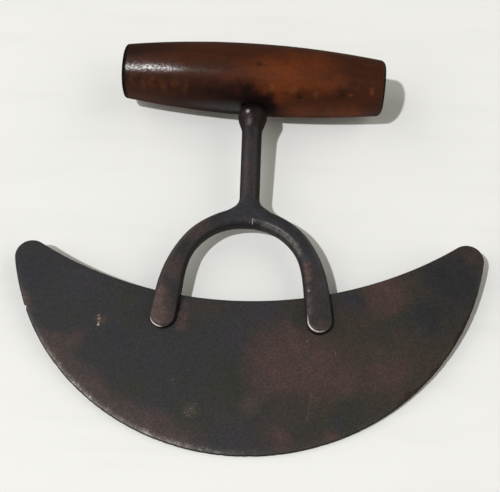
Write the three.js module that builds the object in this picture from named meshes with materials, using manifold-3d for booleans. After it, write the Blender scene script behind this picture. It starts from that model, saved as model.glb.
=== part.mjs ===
// Mezzaluna: a crescent chopping blade held in the slotted feet of a forked iron shank. The shank's
// tang runs through a turned wooden handle and is peened over a washer on its far side.
//
// Millimetres and degrees. The tool is drawn flat first: X along the handle, Y up the shank from the
// middle of the fork's arch, Z off the face of the blade. It is then laid on its back on z = 0, where
// the belly of the handle and the cutting edge touch the surface.
import * as THREE from "three";
import { mergeVertices } from "three/addons/utils/BufferGeometryUtils.js";
import Module from "manifold-3d";

// Blade
const EDGE_RADIUS = 90; // the cutting edge is one arc
const BLADE_DEPTH = 56.4; // cutting edge to spine, in the middle
const SPINE_RADIUS = 150; // hollow curve of the spine
const TIP_RADIUS = 6.2; // rounded horns
const BLADE_THICKNESS = 1.8;
const GRIND_WIDTH = 4.5; // bevel ground along the cutting edge on both faces
const EDGE_LAND = 0.4; // blunt width of the worn cutting edge
const BLADE_LEAN = 1.56; // the blade is riveted this far out of square with the shank
const BLADE_SHIFT = 1.8; // middle of the spine, to the right of the shank's line
const SPINE_DROP = 8.1; // spring line of the arch down to the middle of the spine

// Fork: arch, legs and feet are one bar, forged together with the shank
const ARCH_RADIUS = 25.9; // to the middle of the bar
const ARCH_TURN = 62; // on each side of the crown, before the bar bends back into the leg
const CROWN_WIDTH = 8.3; // bar at the crown of the arch
const RIGHT_LEG_WIDTH = 7.4; // bar below the crown
const LEFT_LEG_WIDTH = 6.7; // the smith drew this side out thinner
const BAR_THICKNESS = 7.6;
const HAUNCH_SHARE = 0.3; // of the way to the foot, where the bar has thinned to a leg
const WIDENING_SHARE = 0.49; // where the leg begins to widen into the foot
const WIDENED_SHARE = 0.92;
const SQUARING_SHARE = 0.8; // where its round section begins to turn square
const SQUARED_SHARE = 1.1;
const LEG_LENGTH = 19.7; // spring line of the arch to the end of a foot
const FOOT_SPREAD = 58.2; // between the middles of the feet
const FOOT_SPLAY = 9; // the feet point this far outwards
const FOOT_WIDTH = 9.4;
const FOOT_THICKNESS = 8;
const FOOT_EDGE_RADIUS = 1.2; // rounding round the rim of a foot
const CROWN_FILLET = 6; // inside corners between shank and arch
const SHANK_DIAMETER = 8.1; // under the bead
const SHANK_ROOT_DIAMETER = 7.6; // above the crown of the arch
const SHANK_LENGTH = 45.4; // crown of the arch to the underside of the handle
const SHANK_BEND = 0.6; // the root of the shank stands this far to the right of the tang's line
const COLLAR_DIAMETER = 11.8; // bead under the handle
const COLLAR_LENGTH = 11.5; // underside of the handle to where the bead runs out into the shank
const BEAD_WIDEST = 0.68; // of the bead's length, up from the shank
const NECK_DIAMETER = 8.4; // above the bead, let into the handle
const TANG_SIDE = 5.2; // square tang in the handle
const TANG_CORNER = 0.52; // its worn corners
const TAIL_DIAMETER = 4.4; // round end of the tang, in the washer
const PEEN_DIAMETER = 8; // end of the tang, hammered over the washer
const PEEN_HEIGHT = 1.1;

// Handle
const HANDLE_LENGTH = 107.2;
const HANDLE_DIAMETER = 29.6; // belly, in the middle
const HANDLE_END_DIAMETER = 22.3;
const HANDLE_ROUNDING = 1.6; // worn edge of the end faces
const HANDLE_SKEW = -2.65; // the handle sits this far out of square with the shank
const HANDLE_SHIFT = -0.15; // middle of the handle, along the handle from the shank's line
const NECK_SEAT_DEPTH = 1; // the neck is bedded this deep into the wood
const WASHER_SEAT_DEPTH = 3; // sinks the washer and the peened end below the wood

// Fasteners
const WASHER_DIAMETER = 12.4;
const WASHER_THICKNESS = 1.4;
const RIVET_DIAMETER = 3.2;
const RIVET_HEAD_DIAMETER = 5; // countersunk heads, filed flush in front
const RIVET_COUNTERSINK = 1;
const RIVET_DOME = 0.4; // hammered swell left on the back
const RIVET_PITCH = 6;
const RIVET_END_MARGIN = 4.6; // end of a foot to the middle of its first rivet

// Clearances
const SLOT_GAP = 0.2; // blade in the slots of the feet
const RIVET_GAP = 0.12;
const WOOD_GAP = 0.3; // iron in wood
const WASHER_GAP = 0.15;

// Fineness of the faceting
const CORNER_STEPS = 4; // points round each corner of a bar's section
const ARCH_STEPS = 14; // along each half of the arch
const LEG_STEPS = 8;
const FOOT_END_STEPS = 5;
const FOOT_END_STOP = 0.3; // part of a step by which the last one stops short of a sharp end
const FILLET_STEPS = 6;
const BEAD_STEPS = 10;
const EDGE_STEPS = 144; // in a full turn of the cutting edge
const TIP_STEPS = 12;
const SPINE_STEPS = 40;
const HANDLE_STEPS = 40; // round the handle
const PROFILE_STEPS = 18; // along the handle
const ROUNDING_STEPS = 4;
const ROUND_STEPS = 20; // round a rivet or the washer
const WELD = 1e-4; // points closer than this are one

// Positions that follow from the sizes
const handleRadius = HANDLE_DIAMETER / 2;
const crownY = ARCH_RADIUS + CROWN_WIDTH / 2;
const undersideY = crownY + SHANK_LENGTH;
const handleAxisY = undersideY + handleRadius;
const neckSeatY = undersideY + NECK_SEAT_DEPTH;
const washerSeatY = handleAxisY + handleRadius - WASHER_SEAT_DEPTH;
const washerTopY = washerSeatY + WASHER_GAP + WASHER_THICKNESS;
const edgeCentreY = EDGE_RADIUS - BLADE_DEPTH; // above the middle of the spine
const reach = EDGE_RADIUS + HANDLE_LENGTH; // longer than any cut has to be

const wasm = await Module();
wasm.setup();

// A closed geometry as a solid that can be joined and cut.
function toSolid(geometry) {
  const bare = geometry.clone();
  bare.deleteAttribute("normal");
  bare.deleteAttribute("uv");
  const merged = mergeVertices(bare, WELD);
  const solid = new wasm.Manifold(
    new wasm.Mesh({
      numProp: 3,
      vertProperties: merged.attributes.position.array,
      triVerts: new Uint32Array(merged.index.array),
    }),
  );
  return solid;
}

// A solid as a geometry again.
function toGeometry(solid) {
  const mesh = solid.getMesh();
  const geometry = new THREE.BufferGeometry();
  geometry.setAttribute("position", new THREE.BufferAttribute(mesh.vertProperties, 3));
  geometry.setIndex(new THREE.BufferAttribute(mesh.triVerts, 1));
  geometry.computeVertexNormals();
  return geometry;
}

// The section of a bar: a rectangle with round corners, or a circle where the corners meet.
function barSection({ halfWidth, halfThickness, corner }) {
  const radius = Math.min(corner, halfWidth, halfThickness);
  const points = [];
  for (let quarter = 0; quarter < 4; quarter++) {
    const across = quarter === 0 || quarter === 3 ? 1 : -1;
    const off = quarter < 2 ? 1 : -1;
    for (let step = 0; step < CORNER_STEPS; step++) {
      const angle = ((quarter + step / (CORNER_STEPS - 1)) * Math.PI) / 2;
      points.push([
        across * (halfWidth - radius) + radius * Math.cos(angle),
        off * (halfThickness - radius) + radius * Math.sin(angle),
      ]);
    }
  }
  return points;
}

// A bar drawn through stations in the plane of the fork. Each station has a point, the direction
// across the bar, and its section. The two ends are closed with flat caps.
function bar(stations) {
  const positions = [];
  for (const station of stations) {
    for (const [across, off] of barSection(station)) {
      const point = station.point.clone().addScaledVector(station.across, across);
      positions.push(point.x, point.y, off);
    }
  }
  const around = 4 * CORNER_STEPS;
  const faces = [];
  for (let ring = 0; ring + 1 < stations.length; ring++) {
    for (let side = 0; side < around; side++) {
      const here = ring * around + side;
      const next = ring * around + ((side + 1) % around);
      faces.push(here, next, here + around, next, next + around, here + around);
    }
  }
  const last = (stations.length - 1) * around;
  for (let side = 1; side + 1 < around; side++) {
    faces.push(0, side + 1, side, last, last + side, last + side + 1);
  }
  const geometry = new THREE.BufferGeometry();
  geometry.setAttribute("position", new THREE.Float32BufferAttribute(positions, 3));
  geometry.setIndex(faces);
  return toSolid(geometry);
}

// A solid turned about the Y axis from [radius, y] pairs, which start and end on the axis.
function turned(profile, steps) {
  const points = profile.map(([radius, y]) => new THREE.Vector2(radius, y));
  return new THREE.LatheGeometry(points, steps);
}

// The same about the Z axis, through a point of the fork's plane.
function turnedAt(profile, steps, point) {
  const geometry = turned(profile, steps).rotateX(Math.PI / 2);
  return toSolid(geometry.translate(point.x, point.y, 0));
}

// A quarter of a circle as pairs that run from (1, 0) to (0, 1).
function quarterRound(steps) {
  const pairs = [];
  for (let step = 0; step <= steps; step++) {
    const angle = ((step / steps) * Math.PI) / 2;
    pairs.push([Math.cos(angle), Math.sin(angle)]);
  }
  return pairs;
}

// The right leg from the end of the arch to the end of its foot, bent a little outwards.
const archEnd = THREE.MathUtils.degToRad(90 - ARCH_TURN);
const legStart = new THREE.Vector2(Math.cos(archEnd), Math.sin(archEnd)).multiplyScalar(ARCH_RADIUS);
const legEnd = new THREE.Vector2(FOOT_SPREAD / 2, -LEG_LENGTH);
const legPull = legStart.distanceTo(legEnd) / 3;
const splay = THREE.MathUtils.degToRad(FOOT_SPLAY);
const legCurve = new THREE.CubicBezierCurve(
  legStart,
  new THREE.Vector2(Math.sin(archEnd), -Math.cos(archEnd)).multiplyScalar(legPull).add(legStart),
  new THREE.Vector2(-Math.sin(splay), Math.cos(splay)).multiplyScalar(legPull).add(legEnd),
  legEnd,
);

// A point on the right leg, a length back from the end of its foot.
function onFoot(fromEnd) {
  const share = 1 - fromEnd / legCurve.getLength();
  return { point: legCurve.getPointAt(share), along: legCurve.getTangentAt(share) };
}

// The section of the bar: round and thick at the crown, thinner down the leg, wide and flat at the foot.
function legSection(share, legWidth) {
  const thinned = THREE.MathUtils.smoothstep(share, 0, HAUNCH_SHARE);
  const widened = THREE.MathUtils.smoothstep(share, WIDENING_SHARE, WIDENED_SHARE);
  const squared = THREE.MathUtils.smoothstep(share, SQUARING_SHARE, SQUARED_SHARE);
  const barWidth = THREE.MathUtils.lerp(CROWN_WIDTH, legWidth, thinned);
  return {
    halfWidth: THREE.MathUtils.lerp(barWidth, FOOT_WIDTH, widened) / 2,
    halfThickness: THREE.MathUtils.lerp(BAR_THICKNESS, FOOT_THICKNESS, widened) / 2,
    corner: THREE.MathUtils.lerp(BAR_THICKNESS / 2, FOOT_EDGE_RADIUS, squared),
  };
}

function station(point, along, section) {
  return {
    point: new THREE.Vector3(point.x, point.y, 0),
    across: new THREE.Vector3(-along.y, along.x, 0),
    ...section,
  };
}

// Stations of one half of the arch bar, drawn on the right, from the crown to the end of the foot.
function halfStations(legWidth) {
  const stations = [];
  const turn = Math.PI / 2 - archEnd;
  const length = ARCH_RADIUS * turn + legCurve.getLength();
  const wholeAt = length - RIVET_END_MARGIN - RIVET_PITCH; // the foot is at full size from here
  for (let step = 0; step <= ARCH_STEPS; step++) {
    const angle = Math.PI / 2 - (turn * step) / ARCH_STEPS;
    const point = new THREE.Vector2(Math.cos(angle), Math.sin(angle)).multiplyScalar(ARCH_RADIUS);
    const along = new THREE.Vector2(Math.sin(angle), -Math.cos(angle));
    const travelled = (ARCH_RADIUS * turn * step) / ARCH_STEPS;
    stations.push(station(point, along, legSection(travelled / wholeAt, legWidth)));
  }
  const endRadius = FOOT_WIDTH / 2;
  const straight = legCurve.getLength() - endRadius;
  for (let step = 1; step <= LEG_STEPS; step++) {
    const fromEnd = endRadius + straight * (1 - step / LEG_STEPS);
    const { point, along } = onFoot(fromEnd);
    stations.push(station(point, along, legSection((length - fromEnd) / wholeAt, legWidth)));
  }
  for (let step = 1; step <= FOOT_END_STEPS; step++) {
    const angle = ((step / (FOOT_END_STEPS + FOOT_END_STOP)) * Math.PI) / 2;
    const fromEnd = endRadius * (1 - Math.sin(angle));
    const { point, along } = onFoot(fromEnd);
    const section = legSection((length - fromEnd) / wholeAt, legWidth);
    section.halfWidth = endRadius * Math.cos(angle);
    const into = Math.max(0, FOOT_EDGE_RADIUS - fromEnd);
    section.halfThickness -= FOOT_EDGE_RADIUS - Math.sqrt(FOOT_EDGE_RADIUS ** 2 - into ** 2);
    stations.push(station(point, along, section));
  }
  return stations;
}

// The arch bar from foot to foot.
function archBar() {
  const right = halfStations(RIGHT_LEG_WIDTH);
  const left = halfStations(LEFT_LEG_WIDTH).slice(1).map((one) => ({
    ...one,
    point: new THREE.Vector3(-one.point.x, one.point.y, 0),
    across: new THREE.Vector3(-one.across.x, one.across.y, 0),
  }));
  return bar([...left.reverse(), ...right]);
}

// The stem: crown fillets, shank, bead, neck, square tang and peened end, from bottom to top.
function stem() {
  const stations = [];
  const up = new THREE.Vector2(0, 1);
  const bendAt = (y) => SHANK_BEND * THREE.MathUtils.clamp((undersideY - y) / SHANK_LENGTH, 0, 1);
  const add = (y, halfWidth, halfThickness, corner) => {
    const point = new THREE.Vector2(bendAt(y), y);
    stations.push(station(point, up, { halfWidth, halfThickness, corner }));
  };
  const addRound = (y, radius) => add(y, radius, radius, radius);
  const shankRadius = SHANK_DIAMETER / 2;
  const rootRadius = SHANK_ROOT_DIAMETER / 2;
  const barHalf = BAR_THICKNESS / 2;

  // the fillet circle touches the shank and the outside of the arch
  const filletX = rootRadius + CROWN_FILLET;
  const filletY = Math.sqrt((crownY + CROWN_FILLET) ** 2 - filletX ** 2);
  const touch = Math.asin(filletY / (crownY + CROWN_FILLET));
  const webHalf = filletX - CROWN_FILLET * Math.cos(touch);
  add(ARCH_RADIUS, webHalf, barHalf, barHalf);
  for (let step = 0; step <= FILLET_STEPS; step++) {
    const angle = touch * (1 - step / FILLET_STEPS);
    const share = step / FILLET_STEPS;
    const halfThickness = THREE.MathUtils.lerp(barHalf, rootRadius, share);
    const halfWidth = filletX - CROWN_FILLET * Math.cos(angle);
    add(filletY - CROWN_FILLET * Math.sin(angle), halfWidth, halfThickness, halfThickness);
  }

  // the bead swells out of the shank and closes to the neck
  const collarRadius = COLLAR_DIAMETER / 2;
  const neckRadius = NECK_DIAMETER / 2;
  for (let step = 0; step <= BEAD_STEPS; step++) {
    const share = step / BEAD_STEPS;
    const y = undersideY - COLLAR_LENGTH * (1 - share);
    const rise = THREE.MathUtils.smoothstep(share, 0, BEAD_WIDEST);
    const past = Math.max(0, (share - BEAD_WIDEST) / (1 - BEAD_WIDEST));
    const fall = 1 - Math.sqrt(1 - past * past);
    const swollen = THREE.MathUtils.lerp(shankRadius, collarRadius, rise);
    addRound(y, THREE.MathUtils.lerp(swollen, neckRadius, fall));
  }
  addRound(neckSeatY - WOOD_GAP, neckRadius);
  const tangHalf = TANG_SIDE / 2;
  add(neckSeatY - WOOD_GAP, tangHalf, tangHalf, TANG_CORNER);
  add(washerSeatY - WASHER_GAP, tangHalf, tangHalf, TANG_CORNER);
  const tailRadius = TAIL_DIAMETER / 2;
  addRound(washerSeatY - WASHER_GAP, tailRadius);
  addRound(washerTopY + WASHER_GAP, tailRadius);
  for (const [out, high] of quarterRound(ROUNDING_STEPS).slice(0, -1)) {
    addRound(washerTopY + WASHER_GAP + PEEN_HEIGHT * high, (PEEN_DIAMETER / 2) * out);
  }
  return bar(stations);
}

// The outline of the blade above its cutting edge, drawn past the edge by a margin. Origin in the
// middle of the spine. Growing it raises the spine.
function bladeOutline(grow) {
  const margin = GRIND_WIDTH;
  const spineRadius = SPINE_RADIUS - grow;
  const tipRadius = TIP_RADIUS + grow;
  const toEdge = EDGE_RADIUS - TIP_RADIUS; // tip circles lie inside the edge and under the spine
  const toSpine = SPINE_RADIUS + TIP_RADIUS;
  const between = SPINE_RADIUS - edgeCentreY;
  const down = (toSpine ** 2 - toEdge ** 2 - between ** 2) / (2 * between);
  const tipX = Math.sqrt(toEdge ** 2 - down ** 2);
  const tipY = edgeCentreY - down;
  const edgeAngle = Math.atan2(-down, tipX);
  const spineAngle = Math.atan2(tipY - SPINE_RADIUS, tipX);
  const points = [];
  const arc = (x, y, radius, from, to, steps) => {
    for (let step = 0; step <= steps; step++) {
      const angle = THREE.MathUtils.lerp(from, to, step / steps);
      points.push(new THREE.Vector2(x + radius * Math.cos(angle), y + radius * Math.sin(angle)));
    }
  };
  const outside = EDGE_RADIUS + margin;
  arc(0, edgeCentreY, outside, -Math.PI - edgeAngle, edgeAngle, EDGE_STEPS / 2);
  arc(tipX, tipY, tipRadius, edgeAngle, spineAngle + Math.PI, TIP_STEPS);
  arc(0, SPINE_RADIUS, spineRadius, spineAngle, -Math.PI - spineAngle, SPINE_STEPS);
  arc(-tipX, tipY, tipRadius, -spineAngle, Math.PI - edgeAngle, TIP_STEPS);
  return new THREE.Shape(points);
}

// The outline as a plate that lies evenly on both sides of the fork's middle plane.
function bladePlate(grow, thickness) {
  const settings = { depth: thickness, bevelEnabled: false };
  const plate = new THREE.ExtrudeGeometry(bladeOutline(grow), settings);
  return plate.translate(0, 0, -thickness / 2);
}

// Puts a geometry drawn about the middle of the spine where the blade sits in the fork.
function inBladePlace(geometry) {
  geometry.rotateZ(THREE.MathUtils.degToRad(BLADE_LEAN));
  return toSolid(geometry.translate(BLADE_SHIFT, -SPINE_DROP, 0));
}

// A disc with the two ground bevels, which trims the plate to the cutting edge.
function groundDisc() {
  const half = BLADE_THICKNESS / 2;
  const flat = EDGE_RADIUS - GRIND_WIDTH;
  const profile = [
    [0, -half],
    [flat, -half],
    [EDGE_RADIUS, -EDGE_LAND / 2],
    [EDGE_RADIUS, EDGE_LAND / 2],
    [flat, half],
    [0, half],
  ];
  return turned(profile, EDGE_STEPS).rotateX(Math.PI / 2).translate(0, edgeCentreY, 0);
}

// A rivet, or with a gap the hole that it fills: countersunk in front and behind.
function rivetProfile(gap, front, back) {
  const face = FOOT_THICKNESS / 2;
  const neck = face - RIVET_COUNTERSINK;
  const shankRadius = RIVET_DIAMETER / 2 + gap;
  const headRadius = RIVET_HEAD_DIAMETER / 2 + gap;
  return [
    [0, -face - back],
    [headRadius, -face],
    [shankRadius, -neck],
    [shankRadius, neck],
    [headRadius, face],
    [0, face + front],
  ];
}

// Middles of the rivets, lower and upper on each foot.
const rivetPlaces = [];
for (const [side, sign] of [["left", -1], ["right", 1]]) {
  for (const [row, fromEnd] of [["lower", RIVET_END_MARGIN], ["upper", RIVET_END_MARGIN + RIVET_PITCH]]) {
    const { point } = onFoot(fromEnd);
    const place = new THREE.Vector2(sign * point.x, point.y);
    rivetPlaces.push({ name: `rivet_${side}_${row}`, point: place });
  }
}

function withRivetHoles(solid) {
  let drilled = solid;
  for (const { point } of rivetPlaces) {
    const cut = turnedAt(rivetProfile(RIVET_GAP, RIVET_GAP, RIVET_GAP), ROUND_STEPS, point);
    drilled = drilled.subtract(cut);
  }
  return drilled;
}

function blade() {
  const plate = inBladePlace(bladePlate(0, BLADE_THICKNESS * 2));
  return withRivetHoles(plate.intersect(inBladePlace(groundDisc())));
}

function fork() {
  const slots = inBladePlace(bladePlate(SLOT_GAP, BLADE_THICKNESS + 2 * SLOT_GAP));
  return withRivetHoles(archBar().add(stem()).subtract(slots));
}

function rivet(point) {
  return turnedAt(rivetProfile(0, 0, RIVET_DOME), ROUND_STEPS, point);
}

// The barrel of the handle, before it is bored.
function handleBarrel() {
  const half = HANDLE_LENGTH / 2;
  const endRadius = HANDLE_END_DIAMETER / 2;
  const radiusAt = (x) => handleRadius - (handleRadius - endRadius) * (x / half) ** 2;
  const end = [];
  const inner = half - HANDLE_ROUNDING;
  for (const [out, high] of quarterRound(ROUNDING_STEPS)) {
    end.push([radiusAt(inner) - HANDLE_ROUNDING * (1 - out), inner + HANDLE_ROUNDING * high]);
  }
  const side = [];
  for (let step = 1; step < PROFILE_STEPS; step++) {
    const x = THREE.MathUtils.lerp(-inner, inner, step / PROFILE_STEPS);
    side.push([radiusAt(x), x]);
  }
  const near = end.map(([radius, x]) => [radius, -x]).reverse();
  const profile = [[0, -half], ...near, ...side, ...end, [0, half]];
  const barrel = turned(profile, HANDLE_STEPS).rotateZ(-Math.PI / 2);
  barrel.rotateZ(THREE.MathUtils.degToRad(HANDLE_SKEW));
  return toSolid(barrel.translate(HANDLE_SHIFT, handleAxisY, 0));
}

// A round bore up the shank's line between two heights.
function bore(radius, fromY, toY) {
  return toSolid(turned([[0, fromY], [radius, fromY], [radius, toY], [0, toY]], ROUND_STEPS));
}

function handle() {
  const side = TANG_SIDE + 2 * WOOD_GAP;
  const tangHole = new THREE.BoxGeometry(side, reach, side).translate(0, handleAxisY, 0);
  const neckSeat = bore(NECK_DIAMETER / 2 + WOOD_GAP, undersideY - handleRadius, neckSeatY);
  const washerSeat = bore(WASHER_DIAMETER / 2 + WASHER_GAP, washerSeatY, washerSeatY + handleRadius);
  return handleBarrel().subtract(toSolid(tangHole)).subtract(neckSeat).subtract(washerSeat);
}

function washer() {
  const hole = TAIL_DIAMETER / 2 + WASHER_GAP;
  const rim = WASHER_DIAMETER / 2;
  const seat = washerSeatY + WASHER_GAP;
  const profile = [[hole, seat], [rim, seat], [rim, washerTopY], [hole, washerTopY], [hole, seat]];
  return toSolid(turned(profile, ROUND_STEPS));
}

const forgedIron = new THREE.MeshStandardMaterial({ color: 0x332b2a, roughness: 0.5, metalness: 0.8 });
const bladeSteel = new THREE.MeshStandardMaterial({ color: 0x35312f, roughness: 0.6, metalness: 0.7 });
const stainedWood = new THREE.MeshStandardMaterial({ color: 0x4a2313, roughness: 0.4, metalness: 0 });

// The tool leans on the surface, on the handle's belly and on the edge or the heel of its bevel.
const edgeY = -SPINE_DROP + edgeCentreY * Math.cos(THREE.MathUtils.degToRad(BLADE_LEAN)) - EDGE_RADIUS;
function inclineOn(contactY, behind) {
  const span = handleAxisY - contactY;
  return Math.asin(handleRadius / Math.hypot(span, behind)) - Math.atan2(behind, span);
}
const incline = Math.min(
  inclineOn(edgeY, EDGE_LAND / 2),
  inclineOn(edgeY + GRIND_WIDTH, BLADE_THICKNESS / 2),
);

const tool = new THREE.Group();
function piece(name, solid, material) {
  const mesh = new THREE.Mesh(toGeometry(solid), material);
  mesh.name = name;
  tool.add(mesh);
}
piece("blade", blade(), bladeSteel);
piece("fork", fork(), forgedIron);
piece("handle", handle(), stainedWood);
piece("tang_washer", washer(), forgedIron);
for (const { name, point } of rivetPlaces) piece(name, rivet(point), forgedIron);

tool.rotation.x = incline;
const part = new THREE.Group();
part.add(tool);

// The origin is under the middle of the tool, on the surface that it lies on.
part.updateMatrixWorld(true);
const box = new THREE.Box3().setFromObject(part, true);
const middle = box.getCenter(new THREE.Vector3());
tool.position.set(-middle.x, -middle.y, -box.min.z);

export default part;
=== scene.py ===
import math

import bmesh
import bpy
import numpy as np
from mathutils import Matrix, Vector


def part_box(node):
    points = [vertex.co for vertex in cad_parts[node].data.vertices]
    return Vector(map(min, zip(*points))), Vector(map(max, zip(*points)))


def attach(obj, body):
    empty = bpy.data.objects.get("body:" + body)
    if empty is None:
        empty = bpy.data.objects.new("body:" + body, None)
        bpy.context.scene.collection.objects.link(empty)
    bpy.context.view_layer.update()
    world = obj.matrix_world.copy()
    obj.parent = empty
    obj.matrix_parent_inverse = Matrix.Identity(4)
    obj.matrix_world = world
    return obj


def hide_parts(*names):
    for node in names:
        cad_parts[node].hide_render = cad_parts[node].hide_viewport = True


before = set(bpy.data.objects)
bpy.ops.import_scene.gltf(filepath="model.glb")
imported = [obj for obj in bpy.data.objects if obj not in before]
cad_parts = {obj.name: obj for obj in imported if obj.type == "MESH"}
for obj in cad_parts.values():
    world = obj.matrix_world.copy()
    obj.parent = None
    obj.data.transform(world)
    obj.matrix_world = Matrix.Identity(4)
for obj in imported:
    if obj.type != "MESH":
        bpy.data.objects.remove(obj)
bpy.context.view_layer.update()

# Blade: one crescent of sheet steel, ground on both faces along the cutting arc.
# Handling has turned it blue-black and brown; the edge is nicked and a little wavy, and worn bright on
# the lower left, where that brightness is partly a painted highlight.
# It is riveted into the slots of the fork's feet, a degree and a half out of square.
EDGE_RADIUS = 90.0
BLADE_DEPTH = 56.4
SPINE_RADIUS = 150.0
TIP_RADIUS = 6.2
BLADE_HALF = 0.9
BLADE_SHIFT = (1.8, -8.1, 0)
BLADE_LEAN = math.radians(1.56)
GRIND_WIDTH = 4.5
GRIND_BULGE = 4.0
GRIND_START = (1, 12)
EDGE_HALF = 0.17
RIM_RADIUS = 0.42
BLADE_STATIONS = 900
TIP_CROWDING = 1.25
EDGE_LINES = (0, 0.08, 0.2, 0.36, 0.6, 0.9, 1.2, 1.5, 1.9, 2.6, 3.5, 4.3, 4.9, 6.5)
SPINE_LINES = (1.6, 0.9, 0.45, 0.3, 0.18, 0.08, 0.02, 0)
FACE_LINES = 12
LINES_SPREAD = 18
FAR_FROM_EDGE = 40

# wear of the edge: depths in millimetres, and places and widths along the arc in degrees
BLADE_SEED = 7
TIP_WEAR = 0.01
WEAR_START = (0, 6)
WEAR_FADE = 1.2
WAVE_DEPTH = 0.02
WAVES_PER_TURN = 9
FIRST_WAVE = 1
CHIP_COUNT = 70
CHIP_PLACES = (-160, -20)
CHIP_WIDTHS = (0.12, 0.5)
CHIP_DEPTHS = (0.02, 0.12)
NICK_PLACE = 204.4
NICK_WIDTH = 0.42
NICK_DEPTH = 0.55

# millimetres in the tool's own plane, from the middle of the fork's arch, to metres on the table
TOOL_SLOPE = 0.0926630587
ARCH_MIDDLE = Vector((-1.3334846, -20.3959359, 6.4480572))
MILLIMETRE = 0.001
tool_place = (
    Matrix.Scale(MILLIMETRE, 4)
    @ Matrix.Translation(ARCH_MIDDLE)
    @ Matrix.Rotation(TOOL_SLOPE, 4, "X")
)
blade_place = tool_place @ Matrix.Translation(BLADE_SHIFT) @ Matrix.Rotation(BLADE_LEAN, 4, "Z")


def smooth_step(value, start, end):
    share = np.clip((value - start) / (end - start), 0, 1)
    return share * share * (3 - 2 * share)


def arc_points(middle, radius, start, end, count=400):
    angles = np.linspace(start, end, count)
    return np.stack([middle[0] + radius * np.cos(angles), middle[1] + radius * np.sin(angles)], 1)


def walked(line, shares):
    """Points at these shares of a line's length, and the length."""
    steps = np.hypot(*np.diff(line, axis=0).T)
    travelled = np.concatenate([[0], np.cumsum(steps)])
    at = np.asarray(shares) * travelled[-1]
    points = np.stack([np.interp(at, travelled, line[:, axis]) for axis in range(2)], 1)
    return points, travelled[-1]


def skin(rings, joined=False):
    """Points and faces of a closed skin over rings of equal count, capped or joined end to end."""
    count, around = rings.shape[:2]
    corner = np.arange(count * around).reshape(count, around)
    onward = np.roll(corner, -1, axis=0)
    quads = np.stack([corner, np.roll(corner, -1, axis=1), np.roll(onward, -1, axis=1), onward], -1)
    if joined:
        return rings.reshape(-1, 3), quads.reshape(-1, 4).tolist()
    caps = [corner[0][::-1].tolist(), corner[-1].tolist()]
    return rings.reshape(-1, 3), quads[:-1].reshape(-1, 4).tolist() + caps


def add_object(name, data):
    made = bpy.data.objects.new(name, data)
    bpy.context.scene.collection.objects.link(made)
    return made


def make_piece(name, points, faces, place):
    """A smooth mesh object from millimetre points, settled in its place with its faces outwards."""
    mesh = bpy.data.meshes.new(name)
    mesh.from_pydata(np.asarray(points).tolist(), [], faces)
    mesh.transform(place)
    shape = bmesh.new()
    shape.from_mesh(mesh)
    bmesh.ops.recalc_face_normals(shape, faces=shape.faces)
    shape.to_mesh(mesh)
    shape.free()
    mesh.shade_smooth()
    return add_object(name, mesh)


def write_on(piece, name, values):
    """Keeps a number at each point of the piece, for its finish to read."""
    kept = piece.data.attributes.new(name, "FLOAT", "POINT")
    kept.data.foreach_set("value", np.asarray(values, np.float32).reshape(-1))


def blade_outline():
    """Matching points along the spine and the cutting edge, from the left tip to the right."""
    edge_middle = EDGE_RADIUS - BLADE_DEPTH
    to_edge = EDGE_RADIUS - TIP_RADIUS
    to_spine = SPINE_RADIUS + TIP_RADIUS
    between = SPINE_RADIUS - edge_middle
    down = (to_spine**2 - to_edge**2 - between**2) / (2 * between)
    tip = np.array([math.sqrt(to_edge**2 - down**2), edge_middle - down])
    edge_turn = math.atan2(-down, tip[0])
    spine_turn = math.atan2(tip[1] - SPINE_RADIUS, tip[0])
    tip_turn = (edge_turn + spine_turn + math.pi) / 2
    edge_arc = arc_points((0, edge_middle), EDGE_RADIUS, -math.pi / 2, edge_turn)
    edge_tip = arc_points(tip, TIP_RADIUS, edge_turn, tip_turn)
    spine_arc = arc_points((0, SPINE_RADIUS), SPINE_RADIUS, -math.pi / 2, spine_turn)
    spine_tip = arc_points(tip, TIP_RADIUS, spine_turn + math.pi, tip_turn)
    half = BLADE_STATIONS // 2
    shares = 1 - (1 - np.arange(half) / half) ** TIP_CROWDING
    edge, edge_length = walked(np.concatenate([edge_arc, edge_tip]), shares)
    spine = walked(np.concatenate([spine_arc, spine_tip]), shares)[0]
    from_tip = (1 - shares) * edge_length - TIP_RADIUS * (tip_turn - edge_turn)
    mirror = np.array([-1, 1])
    edge = np.concatenate([edge[:0:-1] * mirror, edge])
    spine = np.concatenate([spine[:0:-1] * mirror, spine])
    return spine, edge, np.concatenate([from_tip[:0:-1], from_tip])


def edge_wear(edge):
    """How far the worn edge falls short of its arc at each station: waves, chips and one nick."""
    dice = np.random.default_rng(BLADE_SEED)
    turn = np.degrees(np.arctan2(edge[:, 1] - (EDGE_RADIUS - BLADE_DEPTH), edge[:, 0]))
    worn = WAVE_DEPTH + WAVE_DEPTH * np.sin(np.radians(turn) * WAVES_PER_TURN + FIRST_WAVE)
    for place in dice.uniform(*CHIP_PLACES, CHIP_COUNT):
        width = dice.uniform(*CHIP_WIDTHS)
        worn = worn + dice.uniform(*CHIP_DEPTHS) * np.exp(-(((turn - place) / width) ** 2))
    nick = NICK_DEPTH * np.exp(-((np.abs(turn % 360 - NICK_PLACE) / NICK_WIDTH) ** 3))
    return worn + nick


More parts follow.
